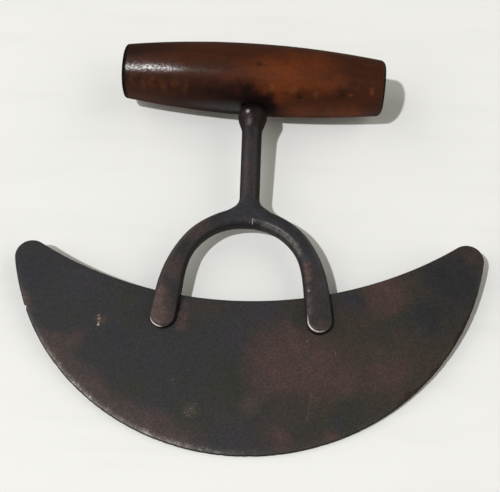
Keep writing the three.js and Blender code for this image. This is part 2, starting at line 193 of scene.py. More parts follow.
def blade_rings():
    """Rings round the blade from its left tip to its right, and each point's way in from the edge."""
    spine, edge, from_tip = blade_outline()
    width = np.hypot(*(spine - edge).T)
    into = (spine - edge) / width[:, None]
    squeeze = np.minimum(1, width / LINES_SPREAD)[:, None]
    near_edge = np.array(EDGE_LINES) * squeeze
    near_spine = width[:, None] - np.array(SPINE_LINES) * squeeze
    shares = np.linspace(0, 1, FACE_LINES + 2)[1:-1]
    face = near_edge[:, -1:] + (near_spine[:, :1] - near_edge[:, -1:]) * shares
    depth = np.concatenate([near_edge, face, near_spine], 1)
    worn = TIP_WEAR + edge_wear(edge)[:, None] * smooth_step(from_tip, *WEAR_START)[:, None]
    moved = depth + worn * np.exp(-depth / WEAR_FADE) * squeeze
    flat = edge[:, None, :] + into[:, None, :] * moved[:, :, None]

    def rim(distance):
        inside = np.clip(RIM_RADIUS * squeeze - distance, 0, None)
        return BLADE_HALF - RIM_RADIUS * squeeze + np.sqrt((RIM_RADIUS * squeeze) ** 2 - inside**2)

    ground = smooth_step(from_tip, *GRIND_START)[:, None]
    short = np.clip(1 - depth / GRIND_WIDTH, 0, 1)
    rise = BLADE_HALF - (BLADE_HALF - EDGE_HALF) * short**GRIND_BULGE
    back_rise = BLADE_HALF - (BLADE_HALF - EDGE_HALF) * short
    spine_rim = rim(width[:, None] - depth)
    edge_rim = rim(depth)
    front = np.minimum(spine_rim, edge_rim + (np.minimum(rise, edge_rim) - edge_rim) * ground)
    back = np.minimum(spine_rim, edge_rim + (np.minimum(back_rise, edge_rim) - edge_rim) * ground)
    upper = np.concatenate([flat, front[:, :, None]], 2)
    lower = np.concatenate([flat, -back[:, :, None]], 2)[:, ::-1]
    rings = np.concatenate([upper, lower], 1)
    from_edge = np.concatenate([depth, depth[:, ::-1]], 1)
    return rings, from_edge + FAR_FROM_EDGE * (1 - ground)


rings, from_edge = blade_rings()
blade = make_piece("blade_sheet", *skin(rings), blade_place)
write_on(blade, "from_edge", from_edge)

STRAY_DETAIL = 3.0
SCRATCH_WHOLE = 0.3


def grow(tree, kind, inputs=None, out=0, **settings):
    """Adds a node and gives one of its outputs, or the whole node where out is None.

    An input is named or numbered, and is a value or another node's output.
    """
    made = tree.nodes.new(kind)
    for name, value in settings.items():
        setattr(made, name, value)
    for key, value in (inputs or {}).items():
        if isinstance(value, bpy.types.NodeSocket):
            tree.links.new(value, made.inputs[key])
        else:
            made.inputs[key].default_value = value
    return made if out is None else made.outputs[out]


def calc(how, first, *others):
    """Works nodes' outputs and numbers into one, from the left, in the tree of those outputs."""
    tree = next(value.id_data for value in (first, *others) if isinstance(value, bpy.types.NodeSocket))
    for other in others or (0.0,):
        first = grow(tree, "ShaderNodeMath", {0: first, 1: other}, operation=how)
    return first


def times(*shares):
    return calc("MULTIPLY", *shares)


def most(*shares):
    return calc("MAXIMUM", *shares)


def span(value, low, high, to_low=0.0, to_high=1.0):
    """Goes smoothly from to_low to to_high while the value goes from low to high."""
    inputs = {0: value, 1: low, 2: high, 3: to_low, 4: to_high}
    return grow(value.id_data, "ShaderNodeMapRange", inputs, interpolation_type="SMOOTHSTEP")


def mottle(where, scale, detail=3.0, rough=0.55):
    inputs = {"Vector": where, "Scale": scale, "Detail": detail, "Roughness": rough}
    return grow(where.id_data, "ShaderNodeTexNoise", inputs, "Fac")


def tint(share, under, over, how="MIX"):
    inputs = {0: share, 6: under, 7: over}
    return grow(share.id_data, "ShaderNodeMix", inputs, 2, data_type="RGBA", blend_type=how)


def parts_of(vector):
    return grow(vector.id_data, "ShaderNodeSeparateXYZ", {0: vector}, None).outputs


def new_finish(name, place):
    """A material whose nodes start from the piece's own coordinates, turned to the way it lies."""
    finish = bpy.data.materials.new(name)
    finish.use_nodes = True
    tree = finish.node_tree
    tree.nodes.clear()
    where = grow(tree, "ShaderNodeTexCoord", out="Object")
    inputs = {"Vector": where, "Location": place.to_translation(), "Rotation": place.to_euler()}
    return finish, tree, grow(tree, "ShaderNodeMapping", inputs, vector_type="TEXTURE")


def close_finish(tree, inputs):
    surface = grow(tree, "ShaderNodeBsdfPrincipled", inputs)
    grow(tree, "ShaderNodeOutputMaterial", {"Surface": surface}, None)


def stretched(where, scale):
    return grow(where.id_data, "ShaderNodeVectorMath", {0: where, 1: scale}, operation="MULTIPLY")


def stray(where, scale, amount):
    """The same coordinates, pushed about by soft noise, so that a stain gets a ragged outline."""
    tree = where.id_data
    inputs = {"Vector": where, "Scale": scale, "Detail": STRAY_DETAIL}
    push = grow(tree, "ShaderNodeTexNoise", inputs, "Color")
    inputs = {0: push, 1: (amount,) * 3, 2: (-amount / 2,) * 3}
    offset = grow(tree, "ShaderNodeVectorMath", inputs, operation="MULTIPLY_ADD")
    return grow(tree, "ShaderNodeVectorMath", {0: where, 1: offset}, operation="ADD")


def marks(where, places, squash=(1, 1, 1)):
    """Spots given as x, y, z, inner and outer radius in millimetres; one inside, nothing outside."""
    where = stretched(where, squash)
    spots = []
    for x, y, z, inner, outer in places:
        middle = tuple(at * by * MILLIMETRE for at, by in zip((x, y, z), squash))
        inputs = {0: where, 1: middle}
        apart = grow(where.id_data, "ShaderNodeVectorMath", inputs, "Value", operation="DISTANCE")
        spots.append(span(apart, inner * MILLIMETRE, outer * MILLIMETRE, 1.0, 0.0))
    return most(*spots)


def scratch(where, start, end, width):
    """One along a straight scratch between two points of the face, in millimetres."""
    run = Vector(end) - Vector(start)
    inputs = {
        "Vector": where,
        "Location": (start[0] * MILLIMETRE, start[1] * MILLIMETRE, 0),
        "Rotation": (0, 0, math.atan2(run.y, run.x)),
    }
    local = parts_of(grow(where.id_data, "ShaderNodeMapping", inputs, vector_type="TEXTURE"))
    length = run.length * MILLIMETRE
    off_middle = calc("ABSOLUTE", calc("SUBTRACT", local[0], length / 2))
    inside = span(off_middle, length * SCRATCH_WHOLE, length / 2, 1.0, 0.0)
    beside = span(calc("ABSOLUTE", local[1]), 0.0, width * MILLIMETRE, 1.0, 0.0)
    return times(inside, beside)


SLATE_BLACK = (0.0186, 0.0188, 0.0202, 1)
TAUPE_BLACK = (0.0262, 0.0202, 0.0164, 1)
VIOLET_GREY = (0.0215, 0.0200, 0.0255, 1)
STEEL_BLUE = (0.0150, 0.0168, 0.0232, 1)
OLIVE_BLACK = (0.0180, 0.0186, 0.0140, 1)
ROSE_BROWN = (0.0475, 0.0272, 0.0258, 1)
DEEP_BLACK = (0.0125, 0.0128, 0.0138, 1)
EDGE_ROSE = (0.0490, 0.0320, 0.0285, 1)
DUST_BROWN = (0.044, 0.036, 0.029, 1)
# painted shadow: the dark of the left foot's shadow on the blade
FOOT_SHADOW_DARK = (0.0090, 0.0042, 0.0036, 1)
# painted shade along the very edge of the blade
EDGE_SHADE_BLACK = (0.012, 0.011, 0.010, 1)
EDGE_BROWN = (0.0125, 0.0038, 0.0003, 1)
# bare steel for real specks and a scratch, and for the partly painted highlight on the worn edge
BARE_STEEL_AND_HIGHLIGHT = (0.34, 0.315, 0.295, 1)
RUST = (0.185, 0.132, 0.105, 1)
PALE_RUST = (0.42, 0.36, 0.27, 1)
GRAIN_LIGHT = (2.0, 1.97, 2.0, 1)
VIOLET_STAINS = (
    (-62.6, 5.8, 0, 2, 13),
    (-4.2, -48.9, 0, 0, 9),
    (-4.2, -12.6, 0, 1, 9),
    (6.0, -4.5, 0, 1, 10),
)
ROSE_STAINS = (
    (11.0, -23.6, 0, 4, 17),
    (24.6, -25.0, 0, 4, 15),
    (19.0, -16.4, 0, 4, 13),
    (35.9, -28.0, 0, 0, 12),
    (50.7, -24.7, 0, 0, 12),
    (50.8, 3.8, 0, 2, 13),
    (12.3, -49.6, 0, 0, 8),
    (30.3, -50.5, 0, 0, 5),
    (-81.0, 0.5, 0, 0, 5),
    (83.1, 17.5, 0, 0, 4),
)
BROWN_STAINS = (
    (-16.0, -2.6, 0, 1, 9),
    (-22.5, -7.0, 0, 0, 6),
    (-19.5, -41.4, 0, 0, 5),
    (-9.0, -40.0, 0, 0, 8),
)
OLIVE_STAINS = (
    (-19.7, -46.9, 0, 2, 10),
    (-7.0, -32.1, 0, 3, 13),
    (-10.7, -24.0, 0, 1, 8),
    (61.0, -5.0, 0, 1, 9),
    (38.4, -40.3, 0, 2, 11),
    (-40.0, -33.0, 0, 1, 8),
    (20.5, -6.0, 0, 0, 7),
)
BLUE_STAINS = (
    (-79.0, 12.0, 0, 2, 12),
    (37.8, 1.7, 0, 1, 8),
    (76.8, 8.0, 0, 4, 15),
    (66.0, -6.0, 0, 0, 9),
    (-47.0, -14.0, 0, 0, 9),
    (-36.0, -24.0, 0, 0, 9),
    (34.0, -44.5, 0, 0, 6),
)
DEEP_STAINS = ((76.8, 6.7, 0, 5, 18), (69.0, -4.7, 0, 2, 13))
BLADE_CLOUDS = (
    (VIOLET_STAINS, VIOLET_GREY),
    (ROSE_STAINS, ROSE_BROWN),
    (BROWN_STAINS, TAUPE_BLACK),
    (OLIVE_STAINS, OLIVE_BLACK),
    (BLUE_STAINS, STEEL_BLUE),
    (DEEP_STAINS, DEEP_BLACK),
)
EDGE_STAINS = ((-70.0, -16.0, 0, 1, 6), (-62.0, -15.8, 0, 0, 6))
ROSY_SPOTS = (
    (-22.8, -2.0, 0.9, 0.6, 2.8),
    (-23.2, -6.0, 0.9, 0.8, 3.0),
    (-23.8, -10.0, 0.9, 0.8, 3.2),
    (-53.0, -8.2, 0.9, 0.0, 3.2),
    (1.8, -38.5, 0.9, 0.0, 5.5),
)
DUST_SPOTS = ((-19.0, -41.2, 0.9, 0.0, 4.2),)
EDGE_SPOTS = ((57.8, -35.0, 0, 0.8, 3.0), (54.6, -37.6, 0, 0.4, 2.6))
RUST_SPECKS = (
    (-53.9, -7.8, 0.9, 0.3, 0.8),
    (-54.0, -9.3, 0.9, 0.1, 0.6),
    (-54.2, -6.4, 0.9, 0.1, 0.65),
)
PALE_SPECKS = ((-54.0, -10.1, 0.9, 0.15, 0.6),)
BRIGHT_SPECKS = (
    (-25.3, -30.1, 0.9, 0.1, 0.45),
    (-18.7, -40.3, 0.9, 0.1, 0.45),
    (32.2, -19.6, 0.9, 0.1, 0.45),
    (22.2, -15.3, 0.9, 0.1, 0.4),
    (-17.0, -38.5, 0.9, 0.1, 0.35),
    (-20.7, -41.7, 0.9, 0.1, 0.35),
    (-17.2, -41.8, 0.9, 0.1, 0.3),
    (-19.9, -42.8, 0.9, 0.1, 0.3),
)
# painted shadow: a dark strip on the blade along the left foot's right side, from start to end, with its
# width
FOOT_SHADOW_LINE = ((-23.3, 3.0), (-25.2, -5.5), 1.1)
FAINT_SCRATCH = ((23.9, -32.3), (21.2, -46.3), 0.24)

# noises as scale per metre, detail and roughness; strays as scale per metre and reach in metres
BLADE_CLOUD = (55.0, 4.0, 0.6)
BLADE_PATCH = (200.0, 3.0, 0.6)
BLADE_GRAIN = (1500.0, 2.0, 0.6)
BLADE_GRIT = (1700.0, 3.0, 0.7)
BLADE_SPARKLE = (1000.0, 2.0)
STAIN_STRAY = (60.0, 0.014)
STAIN_FRAY = (320.0, 0.004)
RUST_STRAY = (1100.0, 0.0011)
SPOT_STRAY = (500.0, 0.004)

# spans as the low and high end of a reading and the shares they give; places are in metres, and widths
# are in millimetres from the edge
STAIN_MOTTLED = (0.32, 0.66, 0.6, 1.0)
SLATE_TO_TAUPE = (-0.016, 0.03)
OLIVE_CLOUDED = (0.5, 0.68, 0.0, 0.8)
BAND_WANDER = 14.0
BAND_WIDTH = (9.0, 19.0, 1.0, 0.0)
BAND_LEFT = (-0.024, -0.010, 1.0, 0.0)
BAND_BELOW = (-0.018, -0.008, 1.0, 0.0)
SPOT_SHARE = 0.7
# share of the painted shadow beside the left foot
FOOT_SHADOW_SHARE = 0.9
BLADE_SPECKLED = (0.35, 0.75, 0.0, 0.7)
SPECK_SHARE = 0.8
SCRATCH_SHARE = 0.28
SCORED_GRAIN = (0.35, 0.6, 0.1, 0.5)
# painted shade: the dark line along the very edge
EDGE_SHADE = (0.25, 0.6, 0.95, 0.0)
BROWN_WANDER = 3.0
BROWN_WIDTH = (2.3, 3.1, 0.95, 0.0)
BROWN_RIGHT = (0.044, 0.058)
EDGE_SPOT_SHARE = 0.95
WORN_WANDER = 5.0
WORN_WIDTH = (2.9, 4.7, 1.0, 0.0)
# the worn band is kept to the lower left, where the lamp's highlight falls: partly a painted highlight
WORN_AND_LIT_LEFT = (-0.03, 0.01, 1.0, 0.08)
WORN_PATCHES = (0.36, 0.62, 0.3, 0.85)
WORN_SPARKLES = (0.4, 0.62, 0.4, 1.0)
WORN_AND_LIT_BELOW = (-0.022, -0.013, 1.0, 0.2)
BEHIND_EDGE = (0.3, 0.6)
BLADE_ROUGH = (0.3, 0.7, 0.52, 0.62)
WORN_POLISH = 0.1
WORN_METAL = 0.3
PATCH_HEIGHT = 2.0


def blade_finish():
    finish, tree, where = new_finish("blade_patina", blade_place)
    from_edge = grow(tree, "ShaderNodeAttribute", out="Fac", attribute_name="from_edge")
    cloudy = mottle(where, *BLADE_CLOUD)
    patchy = mottle(where, *BLADE_PATCH)
    grainy = mottle(where, *BLADE_GRAIN)
    ragged = stray(stray(where, *STAIN_STRAY), *STAIN_FRAY)
    side, up = parts_of(ragged)[:2]
    mottled = span(patchy, *STAIN_MOTTLED)

    # patina: slate on the left and taupe on the right, with clouds of blue, violet, olive and rose
    colour = tint(span(side, *SLATE_TO_TAUPE), SLATE_BLACK, TAUPE_BLACK)
    colour = tint(span(cloudy, *OLIVE_CLOUDED), colour, OLIVE_BLACK)
    for stains, stain in BLADE_CLOUDS:
        colour = tint(times(marks(ragged, stains), mottled), colour, stain)

    # a rosy band behind the edge on the left, small spots, and a painted shadow of the left foot beside
    # it
    wandering = calc("ADD", from_edge, times(cloudy, BAND_WANDER))
    band = times(span(wandering, *BAND_WIDTH), span(side, *BAND_LEFT), span(up, *BAND_BELOW))
    band = most(band, marks(ragged, EDGE_STAINS))
    colour = tint(times(band, mottled), colour, EDGE_ROSE)
    for spots, stain in ((ROSY_SPOTS, EDGE_ROSE), (DUST_SPOTS, DUST_BROWN)):
        colour = tint(times(marks(where, spots), SPOT_SHARE), colour, stain)
    colour = tint(times(scratch(where, *FOOT_SHADOW_LINE), FOOT_SHADOW_SHARE), colour, FOOT_SHADOW_DARK)
    colour = tint(span(grainy, *BLADE_SPECKLED), colour, GRAIN_LIGHT, "MULTIPLY")

    # marks of use: a few specks of rust, bright specks, and one long faint scratch
    colour = tint(marks(stray(where, *RUST_STRAY), RUST_SPECKS), colour, RUST)
    colour = tint(marks(where, PALE_SPECKS), colour, PALE_RUST)
    scratched = times(scratch(where, *FAINT_SCRATCH), SCRATCH_SHARE)
    scored = most(times(marks(where, BRIGHT_SPECKS), SPECK_SHARE), scratched)
    scored = times(scored, span(grainy, *SCORED_GRAIN))
    colour = tint(scored, colour, BARE_STEEL_AND_HIGHLIGHT)

    # the very edge is painted dark as shade, and brown on the right; behind it the left is worn bright in
    # specks, kept to the lower left where the lamp's highlight falls, so partly a painted highlight
    colour = tint(span(from_edge, *EDGE_SHADE), colour, EDGE_SHADE_BLACK)
    brown = calc("ADD", from_edge, times(patchy, BROWN_WANDER))
    brown = times(span(brown, *BROWN_WIDTH), span(side, *BROWN_RIGHT))
    colour = tint(brown, colour, EDGE_BROWN)
    spotted = marks(stray(where, *SPOT_STRAY), EDGE_SPOTS)
    colour = tint(times(spotted, EDGE_SPOT_SHARE), colour, EDGE_BROWN)
    gritty = times(mottle(where, *BLADE_GRIT), WORN_WANDER)
    worn = times(
        span(calc("ADD", from_edge, gritty), *WORN_WIDTH),
        span(side, *WORN_AND_LIT_LEFT),
        span(patchy, *WORN_PATCHES),
        span(mottle(where, *BLADE_SPARKLE), *WORN_SPARKLES),
        span(up, *WORN_AND_LIT_BELOW),
        span(from_edge, *BEHIND_EDGE),
    )
    colour = tint(worn, colour, BARE_STEEL_AND_HIGHLIGHT)
    rough = calc("SUBTRACT", span(cloudy, *BLADE_ROUGH), times(worn, WORN_POLISH))
    height = calc("ADD", grainy, times(patchy, PATCH_HEIGHT))
    close_finish(tree, {
        "Base Color": colour,
        "Roughness": rough,
        "Metallic": times(worn, WORN_METAL),
        "Specular IOR Level": 0.22,
        "Normal": grow(tree, "ShaderNodeBump", {"Height": height, "Strength": 0.35, "Distance": 0.00012}),
    })
    return finish


blade.data.materials.append(blade_finish())
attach(blade, "root")
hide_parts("blade")

# Fork: one hand forging of wrought iron, with shank, bead, arch and two slotted feet.
# The bar is nearly round at the crown and hammered wide at the feet; years of handling have smoothed
# it to a dark brown gloss. Its tang runs through the handle and is peened over on the far side.
ARCH_RADIUS = 25.9
ARCH_END = math.radians(28)
CROWN_HALF = 3.85
BAR_HALF_THICKNESS = 3.8
BAR_CORNER = 3.0
LEFT_LEG_HALF = 3.35
RIGHT_LEG_HALF = 3.7
FOOT_HALF = (4.7, 4.0)
FOOT_END = np.array([29.15, -20.2])
FOOT_SPLAY = math.radians(9)
LEFT_FOOT_RIM = 2.0
RIGHT_FOOT_RIM = 1.7
WHOLE_FOOT = 10.6
HAUNCH_SHARE = 0.3
WIDENING = (0.49, 0.92)
SQUARING = (0.8, 1.1)
CROWN_TOP = 30.05
CROWN_FILLET = 6.0
ROOT_RADIUS = 3.95
SHANK_RADIUS = 4.05
SHANK_LENGTH = 45.4
SHANK_BEND = 0.75
UNDERSIDE = 75.45
BEAD_LENGTH = 11.5
BEAD_RADIUS = 5.9
BEAD_WIDEST = 0.68
NECK_RADIUS = 4.2
TANG_RADIUS = 2.2
NECK_TOP = 76.15
WASHER_TOP = 103.75
PEEN_RADIUS = 4.0
PEEN_HEIGHT = 1.1
PEEN_TURN = 1.5

# how finely the iron is drawn, and how it is filed
CORNER_POINTS = 12
LEG_POINTS = 200
BAR_STEP = 0.45
BAR_GLANCE = 0.002
TOE_RINGS = 24
TOE_TIP = 0.01
FILLET_RINGS = 16
SHANK_SHARES = np.linspace(0.1, 0.9, 9)
BEAD_RINGS = 24
PEEN_RINGS = 10
FORGE_STEP = 0.00028
FILING_CUT = 0.5
FILING_PASSES = 10
CROWN_PASSES = 100
CROWN_SPAN = (20.0, 26.0, 31.0, 38.0)
FREE_OF_SHANK = (20.0, 14.0)


def bar_section(half, corner, from_end=math.inf):
    """A section across a bar: a rectangle with round corners, drawn in towards a rounded end."""
    radius = min(corner, *half)
    reach = math.acos(max(0.0, 1 - from_end / radius))
    turn = np.linspace(0, reach, CORNER_POINTS)
    wide = half[0] - radius * (1 - np.cos(turn))
    short = max(0.0, half[0] - from_end)
    across = np.sqrt(np.clip(wide**2 - short**2, 0, None))
    off = half[1] - radius + radius * np.sin(turn)
    quarter = np.stack([across, off], 1)
    upper = np.concatenate([quarter, quarter[::-1] * (-1, 1)])
    return np.concatenate([upper, upper * -1])


def right_leg():
    """Points down the right half of the arch bar, from its crown to its foot."""
    start = ARCH_RADIUS * np.array([math.cos(ARCH_END), math.sin(ARCH_END)])
    pull = np.hypot(*(FOOT_END - start)) / 3
    bend = start + pull * np.array([math.sin(ARCH_END), -math.cos(ARCH_END)])
    heel = FOOT_END + pull * np.array([-math.sin(FOOT_SPLAY), math.cos(FOOT_SPLAY)])
    share = np.linspace(0, 1, LEG_POINTS)[1:, None]
    leg = (
        start * (1 - share) ** 3
        + bend * 3 * share * (1 - share) ** 2
        + heel * 3 * share**2 * (1 - share)
        + FOOT_END * share**3
    )
    return np.concatenate([arc_points((0, 0), ARCH_RADIUS, math.pi / 2, ARCH_END), leg])


def half_bar(leg_half, rim):
    """Rings down the right half of the arch bar, with the width and the foot's rim of one leg."""
    line = right_leg()
    length = walked(line, [0])[1]
    round_end = FOOT_HALF[0] * (1 - np.cos(np.linspace(math.pi / 2, TOE_TIP, TOE_RINGS)))
    steps = np.concatenate([np.arange(0, length - FOOT_HALF[0], BAR_STEP), length - round_end])
    points = walked(line, steps / length)[0]
    ahead = walked(line, np.clip(steps / length + BAR_GLANCE, 0, 1))[0]
    behind = walked(line, np.clip(steps / length - BAR_GLANCE, 0, 1))[0]
    along = (ahead - behind) / np.hypot(*(ahead - behind).T)[:, None]
    rings = []
    for point, direction, travelled in zip(points, along, steps):
        share = travelled / (length - WHOLE_FOOT)
        widened = smooth_step(share, *WIDENING)
        bar_half = CROWN_HALF + (leg_half - CROWN_HALF) * smooth_step(share, 0, HAUNCH_SHARE)
        half = np.array([bar_half, BAR_HALF_THICKNESS]) * (1 - widened) + np.array(FOOT_HALF) * widened
        corner = BAR_CORNER + (rim - BAR_CORNER) * smooth_step(share, *SQUARING)
        shape = bar_section(half, corner, length - travelled)
        across = np.array([-direction[1], direction[0]])
        rings.append(np.concatenate([point + shape[:, :1] * across, shape[:, 1:]], 1))
    return np.array(rings)


def arch_bar():
    right = half_bar(RIGHT_LEG_HALF, RIGHT_FOOT_RIM)
    left = half_bar(LEFT_LEG_HALF, LEFT_FOOT_RIM)[:0:-1] * np.array([-1, 1, 1])
    return skin(np.concatenate([left, right]))


def stem_rows():
    """Heights up the shank with the half width and half thickness of the iron there."""
    fillet_x = ROOT_RADIUS + CROWN_FILLET
    fillet_y = math.sqrt((CROWN_TOP + CROWN_FILLET) ** 2 - fillet_x**2)
    touch = math.asin(fillet_y / (CROWN_TOP + CROWN_FILLET))
    rows = [(ARCH_RADIUS, fillet_x - CROWN_FILLET * math.cos(touch), BAR_HALF_THICKNESS)]
    for share in np.linspace(0, 1, FILLET_RINGS):
        turn = touch * (1 - share)
        thick = BAR_HALF_THICKNESS + (ROOT_RADIUS - BAR_HALF_THICKNESS) * share
        height = fillet_y - CROWN_FILLET * math.sin(turn)
        rows.append((height, fillet_x - CROWN_FILLET * math.cos(turn), thick))
    for share in SHANK_SHARES:
        height = fillet_y + (UNDERSIDE - BEAD_LENGTH - fillet_y) * share
        radius = ROOT_RADIUS + (SHANK_RADIUS - ROOT_RADIUS) * share
        rows.append((height, radius, radius))
    for share in np.linspace(0, 1, BEAD_RINGS):
        past = max(0.0, (share - BEAD_WIDEST) / (1 - BEAD_WIDEST))
        swollen = SHANK_RADIUS + (BEAD_RADIUS - SHANK_RADIUS) * smooth_step(share, 0, BEAD_WIDEST)
        radius = swollen + (NECK_RADIUS - swollen) * (1 - math.sqrt(1 - past**2))
        rows.append((UNDERSIDE - BEAD_LENGTH * (1 - share), radius, radius))
    rows.append((NECK_TOP, NECK_RADIUS, NECK_RADIUS))
    rows.append((NECK_TOP, TANG_RADIUS, TANG_RADIUS))
    rows.append((WASHER_TOP, TANG_RADIUS, TANG_RADIUS))
    for turn in np.linspace(0, PEEN_TURN, PEEN_RINGS):
        radius = PEEN_RADIUS * math.cos(turn)
        rows.append((WASHER_TOP + PEEN_HEIGHT * math.sin(turn), radius, radius))
    return rows


def stem():
    rings = []
    for height, wide, thick in stem_rows():
        shape = bar_section((wide, thick), min(wide, thick))
        bend = SHANK_BEND * min(1.0, max(0.0, (UNDERSIDE - height) / SHANK_LENGTH))
        rings.append(np.stack([bend - shape[:, 0], np.full(len(shape), height), shape[:, 1]], 1))
    return skin(np.array(rings))


def as_mesh(piece):
    """Works the piece's modifiers into its mesh."""
    bpy.context.view_layer.update()
    shown = piece.evaluated_get(bpy.context.evaluated_depsgraph_get())
    worked = bpy.data.meshes.new_from_object(shown)
    piece.modifiers.clear()
    piece.data = worked


def points_of(mesh):
    points = np.empty(len(mesh.vertices) * 3)
    mesh.vertices.foreach_get("co", points)
    return points.reshape(-1, 3)


def tool_points(piece):
    """The piece's points and normals in the tool's own plane, in millimetres."""
    back = np.array(tool_place.inverted())
    normals = np.empty(len(piece.data.vertices) * 3)
    piece.data.vertex_normals.foreach_get("vector", normals)
    points = points_of(piece.data) @ back[:3, :3].T + back[:3, 3]
    return points, normals.reshape(-1, 3) @ back[:3, :3].T * MILLIMETRE


def file_smooth(piece, passes):
    filing = piece.modifiers.new("filing", "SMOOTH")
    filing.factor = FILING_CUT
    filing.iterations = passes
    return filing


def forged_fork():
    """Bar and stem welded into one skin and filed smooth; the feet keep their crisp rims."""
    bar_points, bar_faces = arch_bar()
    stem_points, stem_faces = stem()
    shifted = [[corner + len(bar_points) for corner in face] for face in stem_faces]
    both_points = np.concatenate([bar_points, stem_points])
    fork = make_piece("iron_fork", both_points, bar_faces + shifted, tool_place)
    weld = fork.modifiers.new("weld", "REMESH")
    weld.mode = "VOXEL"
    weld.voxel_size = FORGE_STEP
    weld.use_smooth_shade = True
    file_smooth(fork, FILING_PASSES)
    as_mesh(fork)

    # the crown is filed longer, until the shank flows into the arch
    heights = tool_points(fork)[0][:, 1]
    start, rising, falling, end = CROWN_SPAN
    weights = smooth_step(heights, start, rising) * (1 - smooth_step(heights, falling, end))
    crown = fork.vertex_groups.new(name="crown")
    for point in np.flatnonzero(weights):
        crown.add([int(point)], float(weights[point]), "REPLACE")
    file_smooth(fork, CROWN_PASSES).vertex_group = crown.name
    as_mesh(fork)
    fork.vertex_groups.clear()

    # below the crown the bar is pressed back to its drawn shape, which filing has blunted
    anvil = make_piece("anvil", bar_points, bar_faces, tool_place)
    pressed = make_piece("pressed", [], [], tool_place)
    pressed.data = fork.data.copy()
    pressed.modifiers.new("press", "SHRINKWRAP").target = anvil
    as_mesh(pressed)
    free = smooth_step(tool_points(fork)[0][:, 1], *FREE_OF_SHANK)[:, None]
    shape = points_of(fork.data) * (1 - free) + points_of(pressed.data) * free
    fork.data.vertices.foreach_set("co", shape.reshape(-1))
    fork.data.update()
    bpy.data.objects.remove(anvil)
    bpy.data.objects.remove(pressed)
    return fork


fork = forged_fork()

# rims of the feet, polished and painted with a highlight: the side where the highlight lies and how far
# round, in degrees, and the slopes it lies between
LEFT_RIM_SIDE = 233.0
LEFT_RIM_REACH = 48.0
LEFT_RIM_SLOPES = (0.27, 0.53)
RIGHT_RIM_SIDE = 222.0
RIGHT_RIM_REACH = 95.0
RIGHT_RIM_SLOPES = (0.57, 0.75)
RIM_FADES = (0.1, 0.07)
RIM_WHOLE = 10.0
RIM_TOP = (-17.0, -12.5)

# sides of the iron, painted dark as shade: the slopes at which they begin and end, and how dark they are
FOOT_TOP = (-14.0, -6.0)
FOOT_SIDE = (0.3, 0.6)
BAR_SIDE = (0.3, 0.97)
BAR_SIDE_DARK = 0.85
SHANK_FOOT = (28.0, 36.0)
SHANK_SIDE = 0.45
SHANK_RIGHT_SIDE = 0.17
SHANK_TURN = (-0.1, 0.1)
SHANK_SIDE_DARK = 0.95


def rim_polish_highlight(piece):
    """How far each point lies on the front rim of a foot, where handling has polished the iron and a
    highlight is painted on the side towards the lamp.
    """
    points, normals = tool_points(piece)
    facing = normals[:, 2]
    on_left = points[:, 0] < 0
    steep, flat = (np.where(on_left, *slopes) for slopes in zip(LEFT_RIM_SLOPES, RIGHT_RIM_SLOPES))
    on_rim = smooth_step(facing, steep, steep + RIM_FADES[0])
    on_rim *= 1 - smooth_step(facing, flat, flat + RIM_FADES[1])
    towards = np.degrees(np.arctan2(normals[:, 1], normals[:, 0])) % 360
    worn_side = np.abs(towards - np.where(on_left, LEFT_RIM_SIDE, RIGHT_RIM_SIDE))
    reach = np.where(on_left, LEFT_RIM_REACH, RIGHT_RIM_REACH)
    on_rim *= 1 - smooth_step(worn_side, RIM_WHOLE, reach)
    return on_rim * (1 - smooth_step(points[:, 1], *RIM_TOP))


def painted_side_shade(piece):
    """How far each point lies on the sides of the iron, painted dark as shade, most on the shank's right
    side; on the feet the steep walls are painted black, shade and grime together.
    """
    points, normals = tool_points(piece)
    facing = np.abs(normals[:, 2])
    on_foot = 1 - smooth_step(points[:, 1], *FOOT_TOP)
    foot_side = 1 - smooth_step(facing, *FOOT_SIDE)
    bar_side = BAR_SIDE_DARK - BAR_SIDE_DARK * smooth_step(facing, *BAR_SIDE)
    shank_limit = SHANK_SIDE + SHANK_RIGHT_SIDE * smooth_step(normals[:, 0], *SHANK_TURN)
    shank_side = SHANK_SIDE_DARK - SHANK_SIDE_DARK * smooth_step(facing, shank_limit, 1.0)
    bar_side += (shank_side - bar_side) * smooth_step(points[:, 1], *SHANK_FOOT)
    return foot_side * on_foot + bar_side * (1 - on_foot)


write_on(fork, "rim_polish_highlight", rim_polish_highlight(fork))
write_on(fork, "painted_side_shade", painted_side_shade(fork))

IRON_BLUE = (0.0275, 0.0272, 0.0325, 1)
IRON_BLACK = (0.0228, 0.0222, 0.0230, 1)
IRON_BROWN = (0.0480, 0.0325, 0.0295, 1)
# painted shade for the sides of the iron and the walls of the feet
SIDE_SHADE_BLACK = (0.0082, 0.0048, 0.0042, 1)
RUBBED_BROWN = (0.085, 0.048, 0.036, 1)
FOOT_ROSE = (0.125, 0.074, 0.066, 1)
# bright iron for real scratches and specks, and for painted highlights
RUBBED_IRON_AND_HIGHLIGHT = (0.42, 0.38, 0.34, 1)
# painted highlight: near-white for the rims of the feet
RIM_HIGHLIGHT_WHITE = (0.95, 0.88, 0.85, 1)
BEAD_BROWN = (0.0118, 0.0056, 0.0063, 1)
